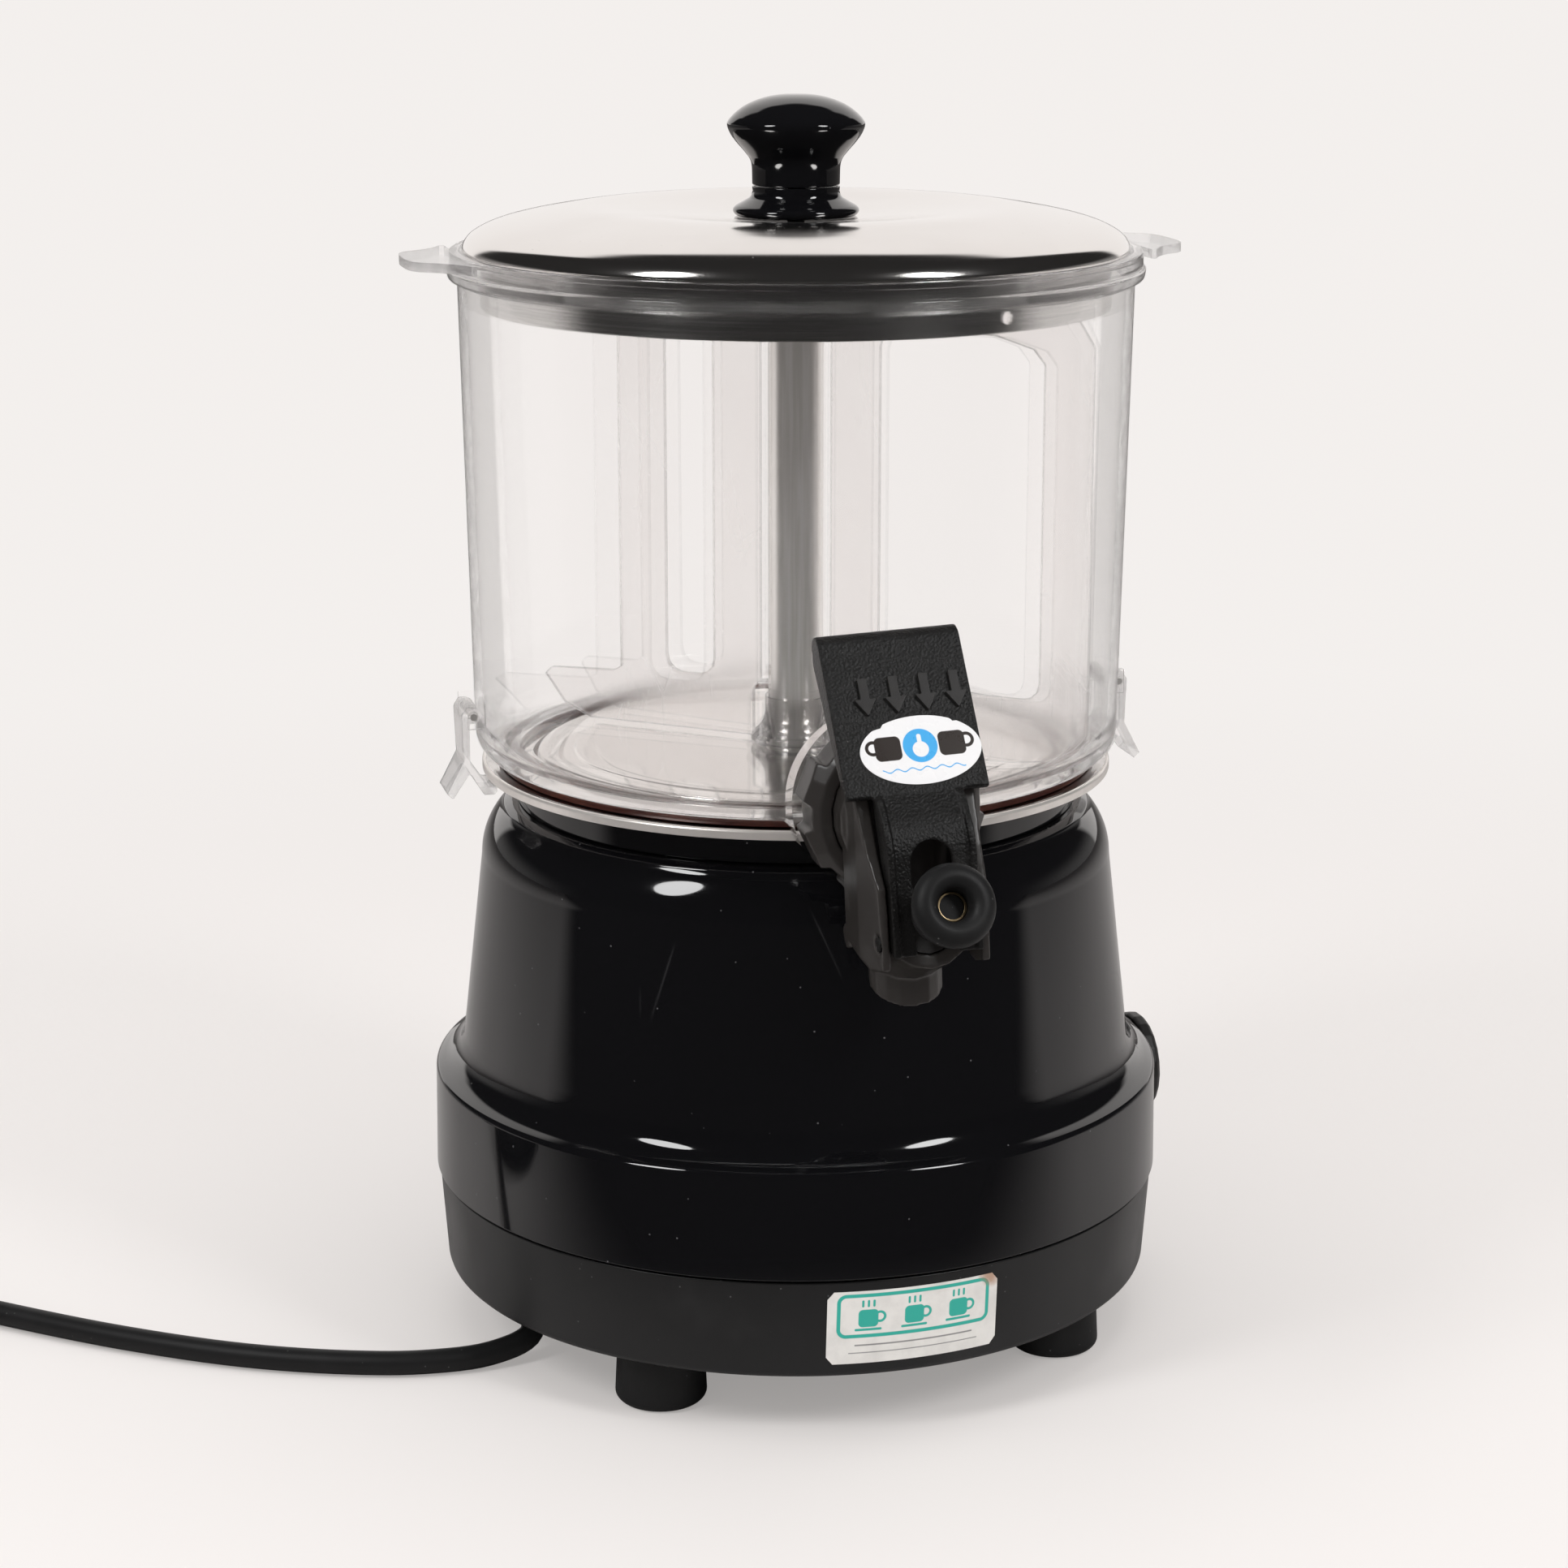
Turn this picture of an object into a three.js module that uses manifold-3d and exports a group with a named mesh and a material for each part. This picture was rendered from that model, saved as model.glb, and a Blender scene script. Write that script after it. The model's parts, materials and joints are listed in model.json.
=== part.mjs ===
// Hot chocolate dispenser: a heated stand, a clear bowl with a turning mixer, a lid and a pull tap.
// Millimetres, +Z up. The tap points towards -Y and the thermostat knob towards +X.
import * as THREE from 'three';
import { mergeVertices } from 'three/addons/utils/BufferGeometryUtils.js';
import Module from 'manifold-3d';

const wasm = await Module();
wasm.setup();

// Clearances shared by all pieces
const gap = 0.3; // between pieces that touch
const running = 0.5; // between pieces that turn or slide in each other
const overrun = 6; // how far a cutter runs past the face that it cuts

// Facets round a piece, by its size
const ringSides = 36;
const wideSides = 22;
const smallSides = 16;
const pinSides = 10;
const arcSteps = 4;
const cornerSteps = 3;

// The stand, from the table up
const foot = { height: 21.7, radius: 15.9, topRadius: 14.9, edge: 2.2, inset: 23.9,
  recessRadius: 5, recessDepth: 5, angles: [-45, 45, 135, -135] };
const pan = { height: 35, inset: 1, draft: 2.5, wall: 3, floor: 3, edge: 2.5,
  postRadius: 6, postInset: 15, screwAngles: [22.5, 112.5, -157.5, -67.5],
  vents: 6, ventRing: 60, ventLength: 26, ventWidth: 6 };
const seam = { height: 1 };
const housing = { radius: 130.5, bandDraft: 0.5, bandHeight: 37, wall: 3,
  wallInset: 10.6, wallFootRise: 13, wallDraft: 7.4, wallTopRise: 77,
  topRound: 24.5, topRoundEndAngle: 46, stepRise: 1.4, stepRun: 3, topRing: 24,
  shoulderRiseShares: [0.14, 0.36, 0.66], shoulderRunShares: [0.42, 0.75, 0.93] };
const screw = { shank: 2.1, head: 4.2, headDepth: 3, sunk: 7, grip: 12 };

// The heated floor of the bowl
const plate = { rimOut: 11.5, sheet: 2, rimLip: 3.6, skirtInset: 13, skirtHeight: 11.8,
  ledge: 19.5, discRise: 2.6, discSlope: 2.5, discRing: 13, centreRise: 0.7, columnHole: 10.1 };
const gasket = { inset: 4.9, width: 8, height: 2.1 };
const element = { ringRadius: 62, radius: 4.2, sides: 6, steps: 24, tailLength: 18, tailSpread: 9 };

// The drive, from the gear motor up to the cap on the mixer
const shaft = { radius: 4 };
const gears = { pitchRadius: 30, ratio: 4, teeth: 32, width: 6,
  toothHeight: 2.4, addendumShare: 0.46, rootThicknessShare: 0.62, tipThicknessShare: 0.24 };
const gearCase = { wall: 2.5, height: 15, room: 2.2, cover: 2.5 };
const motor = { radius: 29, length: 54, shaftRadius: 2.5, neck: 9, neckHeight: 3 };
const bracket = { width: 78, span: 100, height: 88, sheet: 2.5, footLength: 10 };
const column = { radius: 9.7, bore: 7.2, footRadius: 18, footSheet: 1.8, headroom: 13.1 };
const bush = { length: 12, lip: 1.6, lipRadius: 9.4 };
const seal = { radius: 14, height: 6 };

// The mixer: a flat clear sheet with windows, its hub and its cap
const mixer = { angle: -43.2, sheet: 3, floorClearance: 1.2, headroom: 3.7, innerBar: 13.6, barWidth: 18.3,
  leftOuterBar: 51, leftOuterWidth: 18.5, rightOuterBar: 92, wallClearance: 1.3, leftShort: 8,
  armHeight: 17.5, armTipDrop: 2.5, tipSweep: 19, leftWindowFoot: 20.5, bladeHeight: 23,
  lowCornerRun: 14, lowCornerRise: 12.5, windowRound: 6, topRailHeight: 13, bridgeHeight: 4.4,
  topChamferRun: 17, topChamferRise: 15, railDropRun: 18, railDrop: 4, hubSlot: 16.4 };
const hub = { radius: 10.9, skirt: 15.9, height: 16.5, skirtHeight: 3.5, flareHeight: 8, wall: 0.5 };
const cap = { radius: 12.4, height: 12.4, roof: 1.4, edge: 2.5 };

// The clear bowl
const bowl = { wall: 3, openingRoom: 0.9, overhang: 2.8, draft: 3,
  cornerRound: 9, innerRound: 12, wallHeight: 166, lipOut: 3.7, lipHeight: 3.6,
  collarOut: 1.3, collarHeight: 8.4, turn: -4.2 };
const tab = { length: 18.4, halfWidth: 36, tipHalfWidth: 17, thickness: 4.2, tipRound: 9, tipSweep: 60 };
const ear = { spacing: 10.6, thickness: 2, rise: 19, height: 9, out: 5.7, pinOut: 3.7 };
const latch = { width: 18, pinRadius: 1.3, barrel: 3, sheet: 2.9, armOut: 4, armDrop: 16,
  hookBite: 1.6, rimRoom: 1.5, tabOut: 9.5, tabDrop: 27.5 };

// The tap, along the line that it points out from the bowl: lengths out from the face of its boss,
// and rises and drops from the middle of its thread
const tap = { height: 9.6, roll: 2.6, bossRadius: 31, faceOut: 4.3, threadRadius: 23.5, threadLength: 8.4,
  bore: 7, washer: 1.6, barrelRadius: 21.6, barrelLength: 25.4, coneLength: 9, coneRadius: 15,
  pipeOut: 20.4, pipeRadius: 18.6, pipeTop: 5, pipeDrop: 34.9, spoutOut: 17.7, spoutRadius: 12,
  spoutBore: 8.6, spoutDrop: 61.7, spoutSlant: 4.5, footLugRadius: 4.2, footLugSide: 15, footLugDrop: 4 };
const nut = { length: 16, radius: 28, lobe: 2.6, lobes: 8, lobeShare: 0.56, faceRadius: 26,
  lip: 2.6, frontSlope: 3.4 };
const cheek = { out: 19.4, rearRise: 19.1, topRise: 11.1, topOut: 16.6, shoulderOut: 26, shoulderDrop: 4.9,
  frontOut: 34, frontDrop: 13.9, lowOut: 36.6, lowFrontDrop: 34.9, lowDrop: 42.9, footOut: 26,
  rearFootDrop: 38.9, rearHalf: 19.8, frontHalf: 16.6, slot: 14.9, web: 12 };
const piston = { tilt: 25, seatOut: 17.9, seatDrop: 41.6, tubeLength: 30, tubeRadius: 14.6,
  bore: 10, plug: 9.4, plugInner: -9, plugLength: 18, sealLength: 4, sealGroove: 1.6, rod: 3.2,
  guideLength: 6, neck: 5.2, collarRadius: 9.2, collarStart: 46.8, collarLength: 2.4,
  buttonStart: 59.6, buttonRadius: 13.3, buttonLength: 9.6, buttonRound: 3.4, buttonHole: 4.4,
  buttonHoleDepth: 8, clip: 0.9, clipDepth: 3, springWire: 0.6, springRadius: 6.8, springCurls: 4 };
// The lever, from its pivot
const lever = { pivotOut: 32.5, pivotDrop: 31.9, sheet: 2.8, plateWidth: 46.5, topBack: 38.5, topRise: 89.5,
  lowBack: 10.3, lowRise: 44.5, lipRound: 5.2, lipDrop: 6, bendOut: 1, bendRise: 34, footOut: 6.5,
  footDrop: 3.4, channelHalf: 14.4, flange: 2.2, pivotRound: 4, trunnion: 2.4, trunnionOut: 18,
  archHalf: 6.8, archRise: 32, sideDepth: 8, flangeDepth: 9.5 };

// The lid: shares of its radius and of its height from the rim to the middle
const lid = { inset: 1.3, sheet: 1.5, skirtRoom: 3.1, skirtSheet: 1, skirtDrop: 21.5, skirtRise: 2.6,
  ventRadius: 2.2, ventRise: 4.9, ventAngle: 20.3, boltHole: 3.2, domeHeight: 11.9,
  radiusShares: [0.984, 1, 0.988, 0.935, 0.83, 0.7, 0.56, 0.39, 0.206],
  heightShares: [0, 0.2, 0.39, 0.62, 0.84, 0.985, 0.975, 0.84, 0.69],
  underShares: [0.93, 0.7, 0.206], underHeightShares: [0.63, 0.985, 0.69] };
const knob = { flangeRadius: 22, flangeHeight: 5.6, neckRadius: 15, neckSplit: 9.9, headFoot: 17.7,
  headRadius: 23.6, headSeam: 30.7, height: 40.8, flareShare: 0.84, headShares: [0.79, 0.92],
    headRiseShares: [0.6, 0.35],
  crownShares: [0.985, 0.885, 0.737, 0.42], crownRiseShares: [0.14, 0.37, 0.63, 0.91] };
const knobScrew = { head: 8, headHeight: 3, length: 26 };

// The thermostat knob on the side of the stand
const dial = { radius: 18.8, height: 18, thickness: 5.4, bezelOut: 1.2, bezelRadius: 17.6, bezelDepth: 3,
  gripWidth: 6, gripDepth: 2, wallHole: 6.5, round: 1.6, pointer: 1.4, spindle: 3,
  bodyRadius: 15, bodyLength: 20, bodySeat: 4 };
const terminals = { length: 44, width: 18, height: 14, ways: 3, wayRadius: 3, wayDepth: 4, place: [-38, 62] };

// The mains lead: its route over the table, its coil and its plug, in the stand's frame
const lead = { radius: 4.25, tableGap: 0.15, sides: 6, steps: 34 };
const exit = { x: -70, y: -6, height: 14, heading: 207, blockRadius: 11, blockHeight: 10,
  sleeveRadius: 7.2, sleeveTip: 5.4, sleeveLength: 30 };
const route = [[-108, -27.2, 8.6], [-123, -30.4, 5.1], [-146.6, -29.6, 4.7], [-171, -21.8, 4.6],
  [-205, -4.2, 4.6], [-243.6, 24.7, 4.6], [-282.2, 60.5, 4.6], [-305, 84, 4.6]];
const coil = { entryX: -321, entryY: 101, heading: 133, turnRadius: 46.8, turns: 2, pitch: 9.1, layerRise: 9,
  steps: 24, sides: 6, straight: 8.5 };
const tail = { length: 34, rise: 6.6, steps: 10 };
const tie = { width: 6, sheet: 1.2, room: 0.5, atTurn: 0.62 };
const plug = { neckRadius: 6.2, neckLength: 12, bodyRadius: 19, bodyLength: 30, gripRadius: 15,
  pinRadius: 2.4,
  pinLength: 19, pinSpacing: 19, pinRoot: 3 };

// Colours and finishes
const look = {
  blackGloss: { color: 0x0b0b0d, roughness: 0.12, metalness: 0 },
  blackSatin: { color: 0x151517, roughness: 0.42, metalness: 0 },
  blackMatt: { color: 0x222222, roughness: 0.6, metalness: 0 },
  rubber: { color: 0x101010, roughness: 0.8, metalness: 0 },
  steel: { color: 0xc9c6c1, roughness: 0.24, metalness: 1 },
  zinc: { color: 0xa9aaac, roughness: 0.45, metalness: 1 },
  brass: { color: 0xb98d4b, roughness: 0.35, metalness: 1 },
  brown: { color: 0x4a2016, roughness: 0.5, metalness: 0 },
  clear: { color: 0xe9e6e4, roughness: 0.06, metalness: 0, transparent: true, opacity: 0.3 },
  frosted: { color: 0xe6dcda, roughness: 0.4, metalness: 0, transparent: true, opacity: 0.55 },
  white: { color: 0xd9d6cf, roughness: 0.5, metalness: 0 },
};

// Heights worked out from the pieces below
const panBottom = foot.height + gap;
const panTop = panBottom + pan.height;
const housingFoot = panTop + seam.height;
const bandTop = housingFoot + housing.bandHeight;
const wallFoot = bandTop + housing.wallFootRise;
const wallTop = bandTop + housing.wallTopRise;
const roundEnd = THREE.MathUtils.degToRad(housing.topRoundEndAngle);
const bandTopRadius = housing.radius - housing.bandDraft;
const wallFootRadius = bandTopRadius - housing.wallInset;
const wallTopRadius = wallFootRadius - housing.wallDraft;
const roundCentre = wallTopRadius - housing.topRound;
const roundEndRadius = roundCentre + housing.topRound * Math.cos(roundEnd);
const roundEndHeight = wallTop + housing.topRound * Math.sin(roundEnd);
const stepRadius = roundEndRadius - housing.stepRun;
const openingRadius = wallTopRadius - housing.topRing;
const panTopRadius = housing.radius - pan.inset;
const panBottomRadius = panTopRadius - pan.draft;
const postRing = panBottomRadius - pan.postInset;
const footRing = panBottomRadius - foot.inset;
const plateSkirt = wallTopRadius - plate.skirtInset;
const plateRim = plateSkirt + plate.rimOut;
const discRadius = plateRim - plate.ledge;
const centreRadius = discRadius - plate.discRing;
const gasketOuter = plateRim - gasket.inset;
const gasketInner = gasketOuter - gasket.width;
const bowlOpening = gasketInner + bowl.openingRoom;
const bowlLowRadius = plateRim + bowl.overhang;
const bowlTopRadius = bowlLowRadius + bowl.draft;
const lipRadius = bowlTopRadius + bowl.lipOut;
const collarRadius = bowlTopRadius + bowl.collarOut;
const housingTop = roundEndHeight + housing.stepRise + housing.stepRun * 0.5;
const plateFoot = housingTop + gap;
const rimUnder = plateFoot + plate.skirtHeight;
const rimTop = rimUnder + plate.sheet;
const discTop = rimTop + plate.discRise;
const centreTop = discTop + plate.centreRise;
const gasketFoot = rimTop + gap;
const bowlFoot = gasketFoot + gasket.height + gap;
const wallEnd = bowlFoot + bowl.wallHeight;
const collarTop = wallEnd + bowl.lipHeight + bowl.collarHeight;
const tapHeight = bowlFoot + tap.height;
const columnFoot = rimTop - plate.sheet - gap - column.footSheet;
const mixerFloor = centreTop + mixer.floorClearance;
const mixerTop = wallEnd - mixer.headroom;
const mixerReach = bowlLowRadius - bowl.wall - mixer.wallClearance;
const columnTop = mixerTop - column.headroom;
const capFoot = columnTop + gap * 2 + bush.lip;
const shaftTop = mixerTop - mixer.bridgeHeight - gap * 2 - cap.roof;
const lidEdge = collarTop + gap;
const lidRadius = collarRadius - lid.inset;
const skirtRadius = bowlTopRadius - bowl.wall - lid.skirtRoom;
const pinReach = bowlLowRadius + ear.pinOut;
const tapFace = bowlLowRadius + tap.faceOut;
const threadEnd = tapFace + tap.threadLength;
const nutStart = tapFace + gap * 2;
const nutEnd = nutStart + nut.length;
const pipeReach = tapFace + tap.pipeOut;
const pipeFoot = tapHeight - tap.pipeDrop;
const spoutReach = tapFace + tap.spoutOut;
const spoutFoot = tapHeight - tap.spoutDrop;
const cheekRear = tapFace + cheek.out;
const cheekFoot = tapHeight - cheek.lowDrop;
const cheekFront = cheekRear + cheek.lowOut;
const pivotReach = cheekRear + lever.pivotOut;
const pivotHeight = tapHeight - lever.pivotDrop;
const dialStart = housing.radius + dial.bezelOut + running;
const dialFace = dialStart + dial.thickness;
const caseFloor = panBottom + pan.floor + bracket.height + gap;
const bandMiddle = housingFoot + dial.height;

// Helpers
const radians = THREE.MathUtils.degToRad;

function toSolid(geometry) {
  const bare = geometry.clone();
  bare.deleteAttribute('normal');
  bare.deleteAttribute('uv');
  const merged = mergeVertices(bare);
  return new wasm.Manifold(new wasm.Mesh({
    numProp: 3,
    vertProperties: merged.attributes.position.array,
    triVerts: new Uint32Array(merged.index.array),
  }));
}

function toGeometry(solid) {
  const mesh = solid.getMesh();
  const geometry = new THREE.BufferGeometry();
  geometry.setAttribute('position', new THREE.BufferAttribute(mesh.vertProperties, 3));
  geometry.setIndex(new THREE.BufferAttribute(mesh.triVerts, 1));
  geometry.computeVertexNormals();
  return geometry;
}

function join(...pieces) {
  return toGeometry(pieces.map(toSolid).reduce((all, next) => all.add(next)));
}

function cut(piece, ...cutters) {
  return toGeometry(cutters.map(toSolid).reduce((left, next) => left.subtract(next), toSolid(piece)));
}

function common(a, b) {
  return toGeometry(toSolid(a).intersect(toSolid(b)));
}

// Turns an outline of [radius, height] points round the Z axis.
function turned(outline, sides) {
  const points = outline.map(([radius, height]) => new THREE.Vector2(radius, height));
  const onAxis = points[0].x === 0 && points[points.length - 1].x === 0;
  if (THREE.ShapeUtils.area(points) < 0) points.reverse();
  if (!onAxis) points.push(points[0].clone());
  return new THREE.LatheGeometry(points, sides).rotateX(Math.PI / 2);
}

function disc(radius, low, high, sides = smallSides) {
  return turned([[0, low], [radius, low], [radius, high], [0, high]], sides);
}

function ring(inner, outer, low, high, sides) {
  return turned([[inner, low], [outer, low], [outer, high], [inner, high]], sides);
}

function block(width, depth, height, x, y, z) {
  return new THREE.BoxGeometry(width, depth, height).translate(x, y, z);
}

// A round bar between two points.
function bar(radius, from, to, sides = pinSides) {
  const start = new THREE.Vector3(...from);
  const along = new THREE.Vector3(...to).sub(start);
  const geometry = new THREE.CylinderGeometry(radius, radius, along.length(), sides);
  const turn = new THREE.Quaternion().setFromUnitVectors(new THREE.Vector3(0, 1, 0),
    along.clone().normalize());
  return geometry.applyQuaternion(turn).translate(...start.addScaledVector(along, 0.5).toArray());
}

function outlineOf(points, holes = []) {
  const shape = new THREE.Shape(points.map(([x, y]) => new THREE.Vector2(x, y)));
  for (const hole of holes) shape.holes.push(new THREE.Path(hole.map(([x, y]) => new THREE.Vector2(x, y))));
  return shape;
}

function extruded(shape, depth, curveSegments = arcSteps) {
  return new THREE.ExtrudeGeometry(shape, { depth, bevelEnabled: false, curveSegments });
}

// A side outline of [reach, height] points made a piece of the given width, reaching towards -Y.
function sideways(points, width, middle = 0) {
  const geometry = extruded(outlineOf(points), width).translate(0, 0, -width / 2);
  const basis = new THREE.Matrix4().makeBasis(
    new THREE.Vector3(0, -1, 0), new THREE.Vector3(0, 0, 1), new THREE.Vector3(-1, 0, 0));
  return geometry.applyMatrix4(basis).translate(middle, 0, 0);
}

// Points on an arc, in the plane of an outline.
function arc(x, y, radius, from, to, steps = arcSteps) {
  return Array.from({ length: steps + 1 }, (_, i) => {
    const angle = radians(from + (to - from) * i / steps);
    return [x + radius * Math.cos(angle), y + radius * Math.sin(angle)];
  });
}

function roundAt(angle, radius) {
  return [radius * Math.sin(radians(angle)), -radius * Math.cos(radians(angle))];
}

function piece(name, geometry, finish) {
  const made = new THREE.Mesh(geometry, new THREE.MeshStandardMaterial(finish));
  made.name = name;
  return made;
}

// The stand

function footPiece() {
  return turned([[0, foot.recessDepth], [foot.recessRadius, foot.recessDepth], [foot.recessRadius, 0],
    [foot.radius - foot.edge, 0], [foot.radius, foot.edge], [foot.topRadius, foot.height], [0, foot.height]],
  smallSides);
}

function basePan() {
  const floorTop = panBottom + pan.floor;
  let made = turned([[0, panBottom], [panBottomRadius - pan.edge, panBottom],
    [panBottomRadius - pan.edge * 0.3, panBottom + pan.edge * 0.3], [panBottomRadius, panBottom + pan.edge],
    [panTopRadius, panTop], [panTopRadius - pan.wall, panTop], [panBottomRadius - pan.wall, floorTop],
    [0, floorTop]], ringSides);
  const posts = [];
  const cutters = [];
  for (const angle of pan.screwAngles) {
    const [x, y] = roundAt(angle, postRing);
    posts.push(disc(pan.postRadius, floorTop - pan.floor / 2, panTop, pinSides).translate(x, y, 0));
    cutters.push(disc(screw.shank + gap, panBottom - overrun, panTop + overrun, pinSides).translate(x, y, 0));
    cutters.push(disc(screw.head + gap, panBottom - overrun, panBottom + screw.sunk,
      pinSides).translate(x, y, 0));
  }
  for (let i = 0; i < pan.vents; i += 1) {
    const vent = block(pan.ventLength, pan.ventWidth, pan.floor + overrun, pan.ventRing, 0, panBottom);
    cutters.push(vent.rotateZ(radians(45 + 18 * (i - (pan.vents - 1) / 2))));
  }
  cutters.push(disc(exit.blockRadius - pan.wall + gap, panBottom - overrun, floorTop + overrun)
    .translate(exit.x, exit.y, 0));
  made = join(made, ...posts);
  return cut(made, ...cutters);
}

function housingOutline() {
  const shoulder = housing.shoulderRiseShares.map((rise, i) => [
    bandTopRadius + (wallFootRadius - bandTopRadius) * housing.shoulderRunShares[i],
    bandTop + housing.wallFootRise * rise]);
  const outer = [[housing.radius, housingFoot], [bandTopRadius, bandTop], ...shoulder,
    [wallFootRadius, wallFoot],
    ...arc(roundCentre, wallTop, housing.topRound, 0, housing.topRoundEndAngle, cornerSteps),
    [roundEndRadius - housing.stepRun * 0.15, roundEndHeight + housing.stepRise],
    [stepRadius, housingTop], [openingRadius, housingTop]];
  const inner = [[openingRadius, housingTop - housing.wall],
    ...arc(roundCentre, wallTop, housing.topRound - housing.wall, housing.topRoundEndAngle, 0, 1),
    [wallFootRadius - housing.wall, wallFoot - housing.wall],
    [bandTopRadius - housing.wall, bandTop - housing.wall],
    [housing.radius - housing.wall, housingFoot]];
  return [...outer, ...inner];
}

function upperHousing() {
  const shell = turned(housingOutline(), ringSides);
  const posts = [];
  const cutters = [bar(dial.wallHole, [housing.radius - overrun * 3, 0, bandMiddle],
    [housing.radius + overrun, 0, bandMiddle], smallSides)];
  const postTop = housingFoot + housing.bandHeight * 0.6;
  for (const angle of pan.screwAngles) {
    const [x, y] = roundAt(angle, postRing);
    const web = block(housing.wall, housing.radius - housing.wall - postRing, postTop - housingFoot,
      0, -(housing.radius - housing.wall + postRing) / 2, (postTop + housingFoot) / 2);
    posts.push(disc(pan.postRadius, housingFoot, postTop, pinSides).translate(x, y, 0));
    posts.push(web.rotateZ(radians(angle)));
    cutters.push(disc(screw.shank + gap / 2, housingFoot - overrun, housingFoot + screw.grip + gap, pinSides)
      .translate(x, y, 0));
  }
  return cut(join(shell, ...posts), ...cutters);
}

function caseScrew() {
  const seat = panBottom + screw.sunk;
  const tip = housingFoot + screw.grip;
  return turned([[0, seat - gap - screw.headDepth], [screw.head, seat - gap - screw.headDepth],
    [screw.head, seat - gap], [screw.shank, seat - gap], [screw.shank, tip - screw.shank], [0, tip]],
    pinSides);
}

function dialBezel() {
  const washer = turned([[dial.spindle + running, 0], [dial.bezelRadius, 0],
    [dial.bezelRadius, dial.bezelDepth], [dial.spindle + running, dial.bezelDepth]], wideSides);
  washer.translate(0, 0, dialStart - running - dial.bezelDepth).rotateY(Math.PI / 2).translate(0, 0,
    bandMiddle);
  return cut(washer, disc(housing.radius + gap, housingFoot, bandTop + housing.wallFootRise, ringSides * 2));
}

function dialKnob() {
  const body = turned([[0, dialStart], [dial.radius - dial.round / 2, dialStart],
    [dial.radius, dialStart + dial.round / 2], [dial.radius, dialFace - dial.round],
    [dial.radius - dial.round, dialFace], [0, dialFace]], wideSides);
  const socket = disc(dial.spindle + gap, dialStart - overrun, dialStart + dial.thickness / 2);
  const pocket = (side) => block(dial.radius, dial.radius * 1.5, dial.gripDepth * 2,
    side * (dial.gripWidth + dial.radius) / 2, 0, dialFace);
  const rounded = disc(dial.radius - dial.round * 2, dialFace - dial.gripDepth - overrun,
    dialFace + overrun, smallSides);
  const notch = block(dial.pointer, dial.radius, dial.pointer * 2, 0, dial.radius, dialFace);
  return cut(body, socket, common(pocket(1), rounded), common(pocket(-1), rounded), notch)
    .rotateY(Math.PI / 2).translate(0, 0, bandMiddle);
}

function dialSpindle() {
  const end = dialStart + dial.thickness / 2 - gap;
  const bodyEnd = housing.radius - housing.wall - dial.bodySeat;
  return bar(dial.spindle, [bodyEnd + gap, 0, bandMiddle], [end, 0, bandMiddle], smallSides);
}

function thermostatBody() {
  const bodyEnd = housing.radius - housing.wall - dial.bodySeat;
  const body = bar(dial.bodyRadius, [bodyEnd - dial.bodyLength, 0, bandMiddle], [bodyEnd, 0, bandMiddle],
    smallSides);
  const neck = cut(bar(dial.wallHole - gap, [bodyEnd - gap, 0, bandMiddle],
    [housing.radius - housing.wall / 2, 0, bandMiddle], smallSides),
  bar(dial.spindle + running, [bodyEnd, 0, bandMiddle], [housing.radius + overrun, 0, bandMiddle],
    smallSides));
  return join(body, neck);
}

// The heated floor

function heatingPlate() {
  const lipFoot = rimTop - plate.rimLip;
  const skirtInner = plateSkirt - plate.sheet;
  return turned([[plate.columnHole, centreTop], [centreRadius, centreTop],
    [centreRadius + plate.centreRise, discTop], [discRadius, discTop],
    [discRadius + plate.discSlope, rimTop], [plateRim - plate.sheet / 2, rimTop],
    [plateRim, rimTop - plate.sheet / 2], [plateRim, lipFoot],
    [plateRim - plate.sheet, lipFoot], [plateRim - plate.sheet, rimUnder],
    [plateSkirt, rimUnder], [plateSkirt, plateFoot], [skirtInner, plateFoot],
    [skirtInner, rimUnder], [plate.columnHole, rimUnder]], ringSides);
}

function plateGasket() {
  return ring(gasketInner, gasketOuter, gasketFoot, gasketFoot + gasket.height, ringSides);
}

// A tubular ring heater whose two ends turn down.
function heatingElement() {
  const height = rimUnder - gap - element.radius;
  const spread = element.tailSpread / element.ringRadius;
  const points = [];
  const end = (angle, drop) => new THREE.Vector3(element.ringRadius * Math.sin(angle),
    element.ringRadius * Math.cos(angle), height - drop);
  points.push(end(spread, element.tailLength));
  for (let i = 0; i <= element.steps; i += 1) {
    points.push(end(spread + (2 * Math.PI - 2 * spread) * i / element.steps, 0));
  }
  points.push(end(-spread, element.tailLength));
  return tube(points, element.radius, element.sides);
}

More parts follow.
